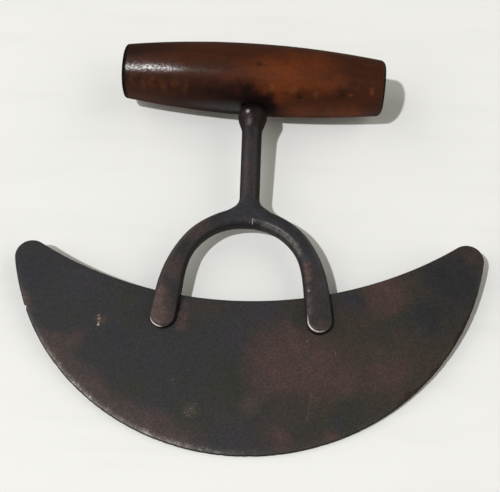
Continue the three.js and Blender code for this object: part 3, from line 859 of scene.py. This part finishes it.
# painted shade on the bead's top, where it tucks under the handle
BEAD_SHADE_BLACK = (0.0030, 0.0018, 0.0018, 1)
IRON_BROWN_PLACES = (
    (-30.5, -8, 4, 2, 5.5),
    (-30.5, -14, 4, 2.5, 6.5),
    (-28.5, -18.5, 4, 2, 6),
    (-26, 3, 3, 0, 9),
    (-19, 19.5, 4, 2, 9),
    (-32, -3, 3.5, 0, 6),
    (23.8, -13, 4, 0, 4),
    (-1.6, 38, 3.8, 1, 7),
    (-0.8, 47, 4, 0, 7),
    (-1.0, 57, 4, 0, 4),
    (28, -18, 4, 0, 6),
)
IRON_RUBBED_PLACES = (
    (23.5, -3.6, 3.6, 0.1, 1.8),
    (23.6, 0.4, 3.7, 0.3, 2.4),
    (23.6, 3.2, 3.7, 0.4, 2.6),
    (23.4, 5.8, 3.7, 0.2, 2.4),
)
IRON_ROSE_PLACES = (
    (-29.6, -6.5, 4, 0.3, 3.0),
    (-30.2, -10.5, 4, 0.8, 3.4),
    (-30.2, -15.5, 4, 0.8, 4.4),
    (24.6, -8.0, 4, 0.0, 2.2),
    (24.8, -12.0, 4, 0.0, 2.2),
)
BEAD_PLACES = ((0, 70.5, 3, 4, 10),)
# a painted highlight: a bright spot on the bead's front
BEAD_HIGHLIGHT_SPOT = ((-1.75, 71.2, 5.6, 0.0, 1.25),)
# painted highlights along the arch's inner shoulder, and a soft one on the bead
FAINT_HIGHLIGHTS = (
    (17.0, 15.8, 3.2, 0.2, 1.5),
    (18.8, 13.8, 3.2, 0.3, 1.7),
    (20.4, 11.4, 3.3, 0.2, 1.6),
    (-1.2, 66.8, 5.4, 0.2, 2.5),
)
IRON_SPECKS = ((24.3, -4.3, 3.9, 0.1, 0.5), (23.7, -3.1, 3.9, 0.0, 0.3))
# painted highlights: streaks along the arch's inner shoulder
ARCH_HIGHLIGHTS = (
    ((5.0, 22.4), (12.6, 19.3), 1.3),
    ((9.6, 20.8), (16.7, 16.2), 1.4),
    ((13.9, 18.3), (19.7, 12.8), 1.4),
    ((17.4, 15.3), (21.2, 9.2), 1.1),
)
CROWN_SCRATCHES = (
    ((2.5, 24.4), (2.4, 22.2), 0.3),
    ((1.4, 23.3), (1.35, 22.8), 0.15),
    ((3.5, 23.6), (3.45, 23.1), 0.15),
)

# noises, strays and spans of the iron, given as those of the blade are
IRON_CLOUD = (85.0, 4.0, 0.6)
IRON_GRAIN = (1100.0, 3.0, 0.65)
IRON_PIT = (300.0, 3.0)
IRON_BROWN_CLOUD = (55.0, 3.0)
IRON_BROWN_STRAY = (130.0, 0.010)
IRON_RUBBED_STRAY = (700.0, 0.003)
IRON_ROSE_STRAY = (400.0, 0.003)
STREAK_STRAY = (900.0, 0.002)
BLUE_TO_BLACK = (0.4, 0.6)
IRON_BROWN_CLOUDED = (0.55, 0.75, 0.0, 0.4)
BROWN_OFF_SIDES = (0.1, 0.5, 0.75, 0.2)
IRON_RUBBED_SHARE = 0.7
IRON_ROSE_SHARE = 0.36
IRON_SPECKLED = (0.35, 0.75, 0.0, 0.6)
# painted shade: the bead darkens towards its top under the handle
BEAD_TOP_SHADE = (0.0715, 0.0740, 0.0, 0.9)
SCORED_SHARE = 0.8
FAINT_HIGHLIGHT_SHARE = 0.17
STREAK_GRAIN = (0.35, 0.65, 0.10, 0.36)
RIM_GRAIN = (0.3, 0.55, 0.5, 1.0)
# share of the bead's painted highlight
BEAD_HIGHLIGHT_SHARE = 0.9
IRON_ROUGH = (0.3, 0.7, 0.29, 0.35)
LEG_ROUGH = (0.004, 0.012, 0.16, 0.0)
RIM_POLISH = 0.26
WALL_ROUGH = 0.4
BEAD_ROUGH = (0.062, 0.068, 0.0, 0.10)
RIM_METAL = 0.25
PIT_HEIGHT = 2.5


def iron_finish():
    finish, tree, where = new_finish("handled_iron", tool_place)
    shaded_side = grow(tree, "ShaderNodeAttribute", out="Fac", attribute_name="painted_side_shade")
    rim = grow(tree, "ShaderNodeAttribute", out="Fac", attribute_name="rim_polish_highlight")
    cloudy = mottle(where, *IRON_CLOUD)
    grainy = mottle(where, *IRON_GRAIN)
    ragged = stray(where, *IRON_BROWN_STRAY)
    up = parts_of(where)[1]

    # blue-black iron, brown and rosy where hands rub it; painted shade darkens its sides, and the bead's
    # top where it meets the handle
    colour = tint(span(cloudy, *BLUE_TO_BLACK), IRON_BLUE, IRON_BLACK)
    clouded = span(mottle(where, *IRON_BROWN_CLOUD), *IRON_BROWN_CLOUDED)
    brown = most(marks(ragged, IRON_BROWN_PLACES), clouded)
    brown = times(brown, span(shaded_side, *BROWN_OFF_SIDES))
    colour = tint(brown, colour, IRON_BROWN)
    colour = tint(marks(ragged, BEAD_PLACES), colour, BEAD_BROWN)
    rubbed = marks(stray(where, *IRON_RUBBED_STRAY), IRON_RUBBED_PLACES)
    colour = tint(times(rubbed, IRON_RUBBED_SHARE), colour, RUBBED_BROWN)
    rosy = marks(stray(where, *IRON_ROSE_STRAY), IRON_ROSE_PLACES)
    colour = tint(times(rosy, IRON_ROSE_SHARE), colour, FOOT_ROSE)
    colour = tint(span(grainy, *IRON_SPECKLED), colour, GRAIN_LIGHT, "MULTIPLY")
    colour = tint(shaded_side, colour, SIDE_SHADE_BLACK)
    colour = tint(span(up, *BEAD_TOP_SHADE), colour, BEAD_SHADE_BLACK)

    # bright metal shows in scratches on the crown; painted highlights lie along the arch's inner
    # shoulder, on the bead, and on the rims of the feet, which are also polished
    scratches = [scratch(where, *line) for line in CROWN_SCRATCHES]
    scored = most(marks(where, IRON_SPECKS), *scratches)
    colour = tint(times(scored, SCORED_SHARE), colour, RUBBED_IRON_AND_HIGHLIGHT)
    frayed = stray(where, *STREAK_STRAY)
    streaked = span(grainy, *STREAK_GRAIN)
    streaks = [times(scratch(frayed, *line), streaked) for line in ARCH_HIGHLIGHTS]
    faint = most(times(marks(frayed, FAINT_HIGHLIGHTS), FAINT_HIGHLIGHT_SHARE), *streaks)
    faint = times(faint, calc("SUBTRACT", 1.0, shaded_side))
    colour = tint(faint, colour, RUBBED_IRON_AND_HIGHLIGHT)
    rim = times(rim, span(grainy, *RIM_GRAIN))
    colour = tint(rim, colour, RIM_HIGHLIGHT_WHITE)
    colour = tint(times(marks(where, BEAD_HIGHLIGHT_SPOT), BEAD_HIGHLIGHT_SHARE), colour, RUBBED_IRON_AND_HIGHLIGHT)
    rough = calc("ADD", span(cloudy, *IRON_ROUGH), span(up, *LEG_ROUGH))
    rough = calc("SUBTRACT", rough, times(rim, RIM_POLISH))
    rough = calc("ADD", rough, times(shaded_side, WALL_ROUGH), span(up, *BEAD_ROUGH))
    pits = calc("ADD", grainy, times(mottle(where, *IRON_PIT), PIT_HEIGHT))
    close_finish(tree, {
        "Base Color": colour,
        "Roughness": rough,
        "Metallic": times(rim, RIM_METAL),
        "Specular IOR Level": 0.16,
        "Normal": grow(tree, "ShaderNodeBump", {"Height": pits, "Strength": 0.5, "Distance": 0.00015}),
    })
    return finish


iron = iron_finish()
fork.data.materials.clear()
fork.data.materials.append(iron)
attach(fork, "root")
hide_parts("fork")

# Rivets: two iron pins through each foot hold the blade in its slot.
# Both ends are hammered into countersinks; the front ends are filed flush with the foot,
# and the back ends are left as low domes.
RIVET_NAMES = ("rivet_left_lower", "rivet_left_upper", "rivet_right_lower", "rivet_right_upper")

# sizes of the rivets in metres, as their places come from the frame
RIVET_BACK = 0.0004
FILED_DOWN = 0.0001
RIVET_SIZES = {
    "Head Radius": 0.0025,
    "Front Face": FOOT_HALF[1] * MILLIMETRE - FILED_DOWN,
    "Back Face": -FOOT_HALF[1] * MILLIMETRE,
    "Front Swell": 0.00002,
    "Back Swell": RIVET_BACK,
    "Slope": TOOL_SLOPE,
}
DOME_SEGMENTS = 40
DOME_RINGS = 20


def new_tree(name, sizes, takes=None):
    """An empty tree with a named input for each size and for the finish, and for points it takes."""
    tree = bpy.data.node_groups.new(name, "GeometryNodeTree")
    tree.is_modifier = True
    if takes:
        tree.interface.new_socket(takes, in_out="INPUT", socket_type="NodeSocketGeometry")
    for size in sizes:
        tree.interface.new_socket(size, in_out="INPUT", socket_type="NodeSocketFloat")
    tree.interface.new_socket("Finish", in_out="INPUT", socket_type="NodeSocketMaterial")
    tree.interface.new_socket("Piece", in_out="OUTPUT", socket_type="NodeSocketGeometry")
    return tree


def close_tree(tree, shape, finish):
    real = grow(tree, "GeometryNodeRealizeInstances", {"Geometry": shape})
    done = grow(tree, "GeometryNodeSetMaterial", {"Geometry": real, "Material": finish})
    grow(tree, "NodeGroupOutput", {0: done}, None)


def run_tree(piece, tree, sizes, finish):
    """Sets the tree's inputs by their identifiers and works its shape into the piece's mesh."""
    shaping = piece.modifiers.new(tree.name, "NODES")
    shaping.node_group = tree
    values = {**sizes, "Finish": finish}
    for socket in tree.interface.items_tree:
        if socket.name in values:
            shaping[socket.identifier] = values[socket.name]
    as_mesh(piece)


def rivet_tree():
    tree = new_tree("hammered_rivets", RIVET_SIZES, "Places")
    given = grow(tree, "NodeGroupInput", out=None).outputs
    lean = grow(tree, "ShaderNodeCombineXYZ", {0: given["Slope"]})
    inputs = {"Segments": DOME_SEGMENTS, "Rings": DOME_RINGS, "Radius": 1.0}
    dome = grow(tree, "GeometryNodeMeshUVSphere", inputs)
    heads = grow(tree, "GeometryNodeJoinGeometry", out=None)
    for end in ("Front", "Back"):
        away = grow(tree, "ShaderNodeCombineXYZ", {2: given[end + " Face"]})
        inputs = {"Vector": away, "Rotation": lean}
        turned = grow(tree, "ShaderNodeVectorRotate", inputs, rotation_type="EULER_XYZ")
        faces = grow(tree, "GeometryNodeSetPosition", {"Geometry": given["Places"], "Offset": turned})
        inputs = {0: given["Head Radius"], 1: given["Head Radius"], 2: given[end + " Swell"]}
        size = grow(tree, "ShaderNodeCombineXYZ", inputs)
        inputs = {"Points": faces, "Instance": dome, "Rotation": lean, "Scale": size}
        tree.links.new(grow(tree, "GeometryNodeInstanceOnPoints", inputs), heads.inputs[0])
    real = grow(tree, "GeometryNodeRealizeInstances", {"Geometry": heads.outputs[0]})
    close_tree(tree, grow(tree, "GeometryNodeSetShadeSmooth", {"Geometry": real}), given["Finish"])
    return tree


def rivet_places():
    """The middle of each rivet in the feet, midway between the two faces of its foot."""
    places = []
    for name in RIVET_NAMES:
        low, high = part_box(name)
        middle = (low + high) / 2
        swell = Matrix.Rotation(TOOL_SLOPE, 3, "X") @ Vector((0, 0, RIVET_BACK / 2))
        places.append(middle + swell)
    return places


rivets_mesh = bpy.data.meshes.new("foot_rivets")
rivets_mesh.from_pydata(rivet_places(), [], [])
rivets = add_object("foot_rivets", rivets_mesh)
run_tree(rivets, rivet_tree(), RIVET_SIZES, iron)
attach(rivets, "root")
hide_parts(*RIVET_NAMES)

# Handle: a barrel of close-grained hardwood, turned on a lathe and stained red-brown.
# The varnish is worn and still glossy, and grime has gathered round the bead. It is bored for the tang
# and let in for the washer on its far side, and sits across the shank a little out of square.
HANDLE_SIZES = {
    "Length": 107.5,
    "Belly": 29.6,
    "Ends": 22.3,
    "Left Rounding": 0.8,
    "Right Rounding": 2.2,
    "Seat Radius": 6.35,
    "Seat Floor": 11.8,
    "Wear": 0.10,
}
HANDLE_AXIS = 90.25
HANDLE_SKEW = math.radians(-2.65)
HANDLE_SHIFT = -0.15
HANDLE_STATIONS = 220
HANDLE_ROUND = 160
HAND_WEAR_SCALE = 0.11
DRILL_LENGTH = 20.0
DRILL_ROUND = 96
SHARP_ANGLE = 0.6
handle_place = (
    tool_place
    @ Matrix.Translation((HANDLE_SHIFT, HANDLE_AXIS, 0))
    @ Matrix.Rotation(HANDLE_SKEW, 4, "Z")
)


def handle_tree():
    tree = new_tree("turned_barrel", HANDLE_SIZES)
    given = grow(tree, "NodeGroupInput", out=None).outputs
    half = times(given["Length"], 0.5)

    # stations crowd towards both ends, where the rounding is
    share = grow(tree, "GeometryNodeSplineParameter", out="Factor")
    along = times(calc("COSINE", times(share, math.pi)), half, -1.0)
    line = grow(tree, "GeometryNodeCurvePrimitiveLine", {"End": (1, 0, 0)})
    line = grow(tree, "GeometryNodeResampleCurve", {"Curve": line, "Count": HANDLE_STATIONS})
    spot = grow(tree, "ShaderNodeCombineXYZ", {0: along})
    line = grow(tree, "GeometryNodeSetPosition", {"Geometry": line, "Position": spot})

    # the barrel's radius falls with the square of the distance from the middle
    here = grow(tree, "GeometryNodeInputPosition")
    station = parts_of(here)[0]
    placed = calc("ABSOLUTE", station)
    on_right = calc("GREATER_THAN", station, 0.0)
    wider = calc("SUBTRACT", given["Right Rounding"], given["Left Rounding"])
    rounding = calc("ADD", given["Left Rounding"], times(on_right, wider))
    belly = times(given["Belly"], 0.5)
    fall = calc("SUBTRACT", belly, times(given["Ends"], 0.5))
    out_share = calc("POWER", calc("DIVIDE", placed, half), 2.0)
    barrel = calc("SUBTRACT", belly, times(fall, out_share))

    # each end is rounded over by its own radius
    inner = calc("SUBTRACT", half, rounding)
    into = most(calc("SUBTRACT", placed, inner), 0.0)
    left_over = calc("POWER", rounding, 2.0)
    left_over = calc("SUBTRACT", left_over, calc("POWER", into, 2.0))
    drop = calc("SUBTRACT", rounding, calc("SQRT", most(left_over, 0.0)))
    radius = calc("SUBTRACT", barrel, drop)
    ring = grow(tree, "GeometryNodeCurvePrimitiveCircle", {"Resolution": HANDLE_ROUND, "Radius": 1.0})
    inputs = {"Curve": line, "Profile Curve": ring, "Scale": radius, "Fill Caps": True}
    body = grow(tree, "GeometryNodeCurveToMesh", inputs)

    # hands have worn the turned surface a little uneven
    away = grow(tree, "GeometryNodeInputNormal")
    inputs = {"Vector": here, "Scale": HAND_WEAR_SCALE, "Detail": 2.0}
    uneven = grow(tree, "ShaderNodeTexNoise", inputs, "Fac")
    sunk = times(uneven, given["Wear"], -1.0)
    push = grow(tree, "ShaderNodeVectorMath", {0: away, "Scale": sunk}, operation="SCALE")
    body = grow(tree, "GeometryNodeSetPosition", {"Geometry": body, "Offset": push})

    # the washer's seat is bored square to the shank, and its edges stay sharp
    inputs = {"Vertices": DRILL_ROUND, "Radius": given["Seat Radius"], "Depth": DRILL_LENGTH}
    drill = grow(tree, "GeometryNodeMeshCylinder", inputs)
    height = calc("ADD", given["Seat Floor"], DRILL_LENGTH / 2)
    stand = grow(tree, "ShaderNodeCombineXYZ", {0: -HANDLE_SHIFT, 1: height})
    inputs = {"Geometry": drill, "Translation": stand, "Rotation": (math.pi / 2, 0, -HANDLE_SKEW)}
    drill = grow(tree, "GeometryNodeTransform", inputs)
    inputs = {"Mesh 1": body, "Mesh 2": drill}
    cut = grow(tree, "GeometryNodeMeshBoolean", inputs, operation="DIFFERENCE")
    soft = grow(tree, "GeometryNodeSetShadeSmooth", {"Geometry": cut})
    angle = grow(tree, "GeometryNodeInputMeshEdgeAngle", out="Unsigned Angle")
    sharp = grow(tree, "FunctionNodeCompare", {0: angle, 1: SHARP_ANGLE}, operation="GREATER_THAN")
    inputs = {"Geometry": soft, "Selection": sharp, "Shade Smooth": False}
    crisp = grow(tree, "GeometryNodeSetShadeSmooth", inputs, domain="EDGE")
    close_tree(tree, crisp, given["Finish"])
    return tree


WOOD_RED = (0.054, 0.0158, 0.0068, 1)
WOOD_BROWN = (0.040, 0.0135, 0.0070, 1)
WOOD_AMBER = (0.126, 0.0300, 0.0070, 1)
WOOD_DARK = (0.0095, 0.0040, 0.0026, 1)
FLECK = (0.165, 0.055, 0.017, 1)
# dark of the grime round the bead, and of the painted shade on the rims of the ends
GRIME_AND_SHADE = (0.0030, 0.0016, 0.0018, 1)
END_BROWN = (0.0420, 0.0165, 0.0080, 1)
END_DARK = (0.0190, 0.0080, 0.0046, 1)
DARKEN = (0.55, 0.5, 0.48, 1)
AMBER_PLACES = (
    (12, -8, 12, 3, 15),
    (4, -7.5, 12.5, 2, 8),
    (29, -6, 11, 0, 8),
    (20, -1, 14, 0, 12),
    (22, -16.5, -2, 2, 9),
    (38, -15, -2, 2, 8),
)
DARK_PLACES = (
    (-48, 5, 10, 2, 12),
    (21, -12, 8, 0, 7),
    (37, -10.5, 8, 0, 3),
    (-51, -7, 9, 0, 6),
)
SHADE_PLACES = ((-46, -10, 8, 2, 9), (-36, -11, 8, 2, 9), (-27, -12, 7, 1, 8))
GRIME_PLACES = (
    (2, -14, 4, 4, 9),
    (7, -15, 2, 2, 7),
    (-2, -11.0, 9.0, 1, 7.5),
    (6, -13.5, 6, 0.5, 6),
)
PALE_FLECKS = (
    (25.9, -11.2, 8.2, 0.0, 2.4),
    (39.9, -9.9, 8.0, 0.0, 1.4),
    (48.4, -7.8, 8.4, 0.5, 1.7),
    (17.0, -10.5, 10.0, 0.0, 2.2),
    (8.5, -10.2, 10.5, 0.0, 2.2),
)
DARK_FLECKS = ((19.5, -12, 7.6, 0.0, 2.1), (2.6, -2.3, 14.6, 0.0, 1.8))
RAY_FLECKS = (
    (-49.0, -9.0, 7.4, 0.0, 3.4),
    (-44.6, -10.2, 7.0, 0.0, 3.8),
    (-41.0, -9.6, 8.0, 0.0, 3.2),
    (-36.2, -11.0, 7.2, 0.0, 4.0),
    (-31.0, -10.2, 8.6, 0.0, 3.4),
    (-27.4, -11.4, 7.8, 0.0, 3.4),
)

# stretches of the grain and the stains, then noises, strays and spans given as those of the blade are
GRAIN_STRETCH = (1, 8, 8)
RING_STRETCH = (0.1, 1, 1)
AMBER_STRETCH = (0.55, 1, 1)
DARK_STRETCH = (0.6, 1, 1)
RAY_STRETCH = (1.5, 0.8, 0.8)
WOOD_BAND = (40.0, 5.0, 0.6)
WOOD_FIBRE = (190.0, 4.0, 0.65)
WOOD_CLOUD = (60.0, 3.0, 0.5)
VARNISH_PIT = (850.0, 3.0, 0.55)
END_RING = (420.0, 4.0, 0.6)
WOOD_STRAY = (120.0, 0.010)
GRIME_STRAY = (200.0, 0.006)
DENT_STRAY = (500.0, 0.0035)
RED_BANDS = (0.35, 0.65)
AMBER_CLOUDED = (0.3, 0.65, 0.55, 1.0)
DARK_SHARE = 0.6
SHADE_SHARE = 0.3
GRIMY_LEFT = (-0.050, 0.0)
GRIMY_RIGHT = (0.003, 0.009, 1.0, 0.0)
GRIMY_BELOW = (-0.014, -0.0065, 1.0, 0.0)
GRIMY_SHARE = 0.93
FIBRE_STREAKS = (0.4, 0.7, 0.0, 0.46)
RAY_SHARE = 0.2
PALE_FLECK_SHARE = 0.42
DARK_FLECK_SHARE = 0.62
DULL_TOP = (-0.002, 0.005)
DULL_BACK = (-0.004, 0.0, 1.0, 0.0)
LEFT_END = (-0.0525, -0.0515, 1.0, 0.0)
RIGHT_END = (0.0525, 0.0531)
END_RINGS = (0.35, 0.65)
# painted shade: the rims of the end faces
END_RIM_SHADE = (0.0092, 0.0104, 0.0, 0.93)
PITS_DARK = (0.42, 0.66, 0.0, 0.35)
WOOD_ROUGH = (0.42, 0.6, 0.62, 0.5)
DULL_ROUGH = 0.2
GLOSS_LEFT = (-0.043, -0.020, 1.0, 0.0)
GLOSS_TAIL = (-0.016, -0.006, 0.12, 0.0)
GLOSS_PITS = (0.38, 0.6, 0.3, 1.0)
GLOSS_FRONT = (-0.0085, -0.0056, 0.03, 1.0)
UNDER_GLOSS = (-0.0150, -0.0135, 0.55, 0.0)
UNDER_LEFT = (-0.004, 0.006, 1.0, 0.0)
PITS_LEFT = (-0.040, -0.020, 1.0, 0.4)
FIBRE_HEIGHT = 0.12


def wood_finish():
    finish, tree, where = new_finish("worn_varnish", handle_place)
    lengthwise = stretched(where, GRAIN_STRETCH)
    bands = mottle(lengthwise, *WOOD_BAND)
    fibres = mottle(lengthwise, *WOOD_FIBRE)
    cloudy = mottle(where, *WOOD_CLOUD)
    pitted = mottle(where, *VARNISH_PIT)
    ragged = stray(where, *WOOD_STRAY)
    smeared = stray(where, *GRIME_STRAY)
    dented = stray(where, *DENT_STRAY)

    # stain: red-brown, amber where it is rubbed thin, dark with grime round the bead
    colour = tint(span(bands, *RED_BANDS), WOOD_BROWN, WOOD_RED)
    amber = times(marks(ragged, AMBER_PLACES, AMBER_STRETCH), span(cloudy, *AMBER_CLOUDED))
    colour = tint(amber, colour, WOOD_AMBER)
    dark = times(marks(ragged, DARK_PLACES, DARK_STRETCH), DARK_SHARE)
    colour = tint(dark, colour, WOOD_DARK)
    shade = times(marks(where, SHADE_PLACES, DARK_STRETCH), SHADE_SHARE)
    colour = tint(shade, colour, WOOD_DARK)
    along, up = parts_of(smeared)[:2]
    grimy = times(span(along, *GRIMY_LEFT), span(along, *GRIMY_RIGHT), span(up, *GRIMY_BELOW))
    grimy = most(grimy, marks(smeared, GRIME_PLACES))
    colour = tint(times(grimy, GRIMY_SHARE), colour, GRIME_AND_SHADE)
    colour = tint(span(fibres, *FIBRE_STREAKS), colour, DARKEN, "MULTIPLY")

    # soft flecks of the wood's rays on the left, and small pale and dark dents
    flecks = (
        (smeared, RAY_FLECKS, RAY_STRETCH, RAY_SHARE, FLECK),
        (dented, PALE_FLECKS, (1, 1, 1), PALE_FLECK_SHARE, FLECK),
        (dented, DARK_FLECKS, (1, 1, 1), DARK_FLECK_SHARE, WOOD_DARK),
    )
    for at, places, stretch, share, stain in flecks:
        colour = tint(times(marks(at, places, stretch), share), colour, stain)

    # bare end grain inside a rim painted dark as shade
    along, up, front = parts_of(where)
    ends = most(span(along, *LEFT_END), span(along, *RIGHT_END))
    from_axis = grow(tree, "ShaderNodeCombineXYZ", {"Y": up, "Z": front})
    from_axis = grow(tree, "ShaderNodeVectorMath", {0: from_axis}, "Value", operation="LENGTH")
    rings = mottle(stretched(where, RING_STRETCH), *END_RING)
    end_grain = tint(span(rings, *END_RINGS), END_DARK, END_BROWN)
    colour = tint(ends, colour, end_grain)
    colour = tint(times(ends, span(from_axis, *END_RIM_SHADE)), colour, GRIME_AND_SHADE)
    colour = tint(span(pitted, *PITS_DARK), colour, DARKEN, "MULTIPLY")

    # varnish: pitted, glossy on the left of the front and under the handle, dull elsewhere
    dull = most(span(up, *DULL_TOP), span(front, *DULL_BACK), ends)
    rough = calc("ADD", span(pitted, *WOOD_ROUGH), times(dull, DULL_ROUGH))
    wandering = parts_of(ragged)[0]
    gloss = most(span(wandering, *GLOSS_LEFT), span(wandering, *GLOSS_TAIL))
    gloss = times(gloss, span(pitted, *GLOSS_PITS), span(up, *GLOSS_FRONT))
    under = times(span(up, *UNDER_GLOSS), span(along, *UNDER_LEFT))
    gloss = times(most(gloss, under), calc("SUBTRACT", 1.0, dull))
    pits = times(pitted, span(wandering, *PITS_LEFT))
    height = calc("ADD", times(fibres, FIBRE_HEIGHT), pits)
    bump = grow(tree, "ShaderNodeBump", {"Height": height, "Strength": 1.0, "Distance": 0.00010})
    close_finish(tree, {
        "Base Color": colour,
        "Roughness": rough,
        "Specular IOR Level": 0.08,
        "Coat Weight": gloss,
        "Coat Roughness": 0.27,
        "Coat Normal": bump,
        "Normal": bump,
    })
    return finish


handle = add_object("barrel_handle", bpy.data.meshes.new("barrel_handle"))
run_tree(handle, handle_tree(), HANDLE_SIZES, wood_finish())
handle.data.transform(handle_place)
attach(handle, "root")
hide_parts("handle")

# Washer: a disc of iron round the end of the tang, let into the far side of the handle.
# It spreads the pull of the peened end over the wood; its edges are rounded by filing.
WASHER_SEAT = 102.2
WASHER_THICKNESS = 1.4
WASHER_RADIUS = 6.2
WASHER_HOLE = 2.35
WASHER_EDGE = 0.35
WASHER_EDGE_POINTS = 7
WASHER_ROUND = 96


def washer_rings():
    """The washer's section, carried once round the tang."""
    section = []
    corners = ((WASHER_RADIUS, 0), (WASHER_RADIUS, 1), (WASHER_HOLE, 1), (WASHER_HOLE, 0))
    for turn, (radius, level) in enumerate(corners):
        middle = radius - WASHER_EDGE if turn < 2 else radius + WASHER_EDGE
        height = WASHER_EDGE + level * (WASHER_THICKNESS - 2 * WASHER_EDGE)
        for angle in np.radians(np.linspace(turn * 90 - 90, turn * 90, WASHER_EDGE_POINTS)):
            out, up = WASHER_EDGE * math.cos(angle), WASHER_EDGE * math.sin(angle)
            section.append((middle + out, height + up))
    rings = []
    for angle in np.linspace(0, 2 * math.pi, WASHER_ROUND, endpoint=False):
        rings.append([
            (radius * math.cos(angle), WASHER_SEAT + height, radius * math.sin(angle))
            for radius, height in section
        ])
    return np.array(rings)


washer = make_piece("tang_washer_disc", *skin(washer_rings(), joined=True), tool_place)
washer.data.materials.append(iron)
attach(washer, "root")
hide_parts("tang_washer")

# Table: a plain board painted off-white, much larger than the tool that lies on it.
# The brush has left faint streaks along it.
TABLE_HALF = 3.0
TABLE_WHITE = (0.83, 0.84, 0.835, 1)
TABLE_GREY = (0.805, 0.815, 0.81, 1)
BRUSH_STRETCH = (6, 40, 40)
BRUSH_STREAK = (2.0, 4.0)
BRUSH_GREYED = (0.45, 0.75)
corners = [(x * TABLE_HALF, y * TABLE_HALF, 0) for x, y in ((-1, -1), (1, -1), (1, 1), (-1, 1))]
table_mesh = bpy.data.meshes.new("table_top")
table_mesh.from_pydata(corners, [], [(0, 1, 2, 3)])
table = add_object("table_top", table_mesh)
paint, tree, where = new_finish("table_paint", Matrix())
streaked = mottle(stretched(where, BRUSH_STRETCH), *BRUSH_STREAK)
paint_colour = tint(span(streaked, *BRUSH_GREYED), TABLE_WHITE, TABLE_GREY)
close_finish(tree, {"Base Color": paint_colour, "Roughness": 0.6, "Specular IOR Level": 0.2})
table.data.materials.append(paint)

# Light: one lamp from the front left for the shadows, and a pale screen on either side of the table.
# The room before and behind the table stays dark, so nothing white lies along the handle.
LAMP_WAY = Vector((-0.46, -0.34, 1.0)).normalized()
LAMP_DISTANCE = 5.0
LAMP_SIZE = 0.23
LAMP_POWER = 162.0
SCREEN_LIGHT = 1.3
ROOM_LIGHT = 0.05
SCREEN_EDGE = (0.4, 0.65)
SCREEN_WHITE = (1, 0.955, 0.86, 1)
lamp_data = bpy.data.lights.new("front_lamp", "AREA")
lamp_data.shape = "DISK"
lamp_data.size = LAMP_SIZE
lamp_data.energy = LAMP_POWER
lamp = add_object("front_lamp", lamp_data)
lamp.location = LAMP_WAY * LAMP_DISTANCE
lamp.rotation_euler = LAMP_WAY.to_track_quat("Z", "Y").to_euler()
world = bpy.data.worlds.new("room")
world.use_nodes = True
bpy.context.scene.world = world
tree = world.node_tree
tree.nodes.clear()
look = grow(tree, "ShaderNodeTexCoord", out="Generated")
aside = calc("ABSOLUTE", parts_of(look)[0])
glow = span(aside, *SCREEN_EDGE, ROOM_LIGHT, SCREEN_LIGHT)
room = grow(tree, "ShaderNodeBackground", {"Color": SCREEN_WHITE, "Strength": glow})
grow(tree, "ShaderNodeOutputWorld", {"Surface": room}, None)

# Camera: held over the front of the table, looking down at the tool by sixty degrees.
# Its place, turn and lens are those at which the tool's outline falls as it does in the photograph.
CAMERA_PLACE = (0.01192390, -0.16002366, 0.28251804)
CAMERA_TURN = (29.31739616, 0.74644614, 2.90529973)
camera_data = bpy.data.cameras.new("camera")
camera_data.lens = 59.689
camera_data.sensor_width = 36.0
camera = add_object("camera", camera_data)
camera.location = CAMERA_PLACE
camera.rotation_euler = [math.radians(turn) for turn in CAMERA_TURN]
bpy.context.scene.camera = camera
bpy.context.scene.view_settings.view_transform = "Standard"

bpy.context.view_layer.update()
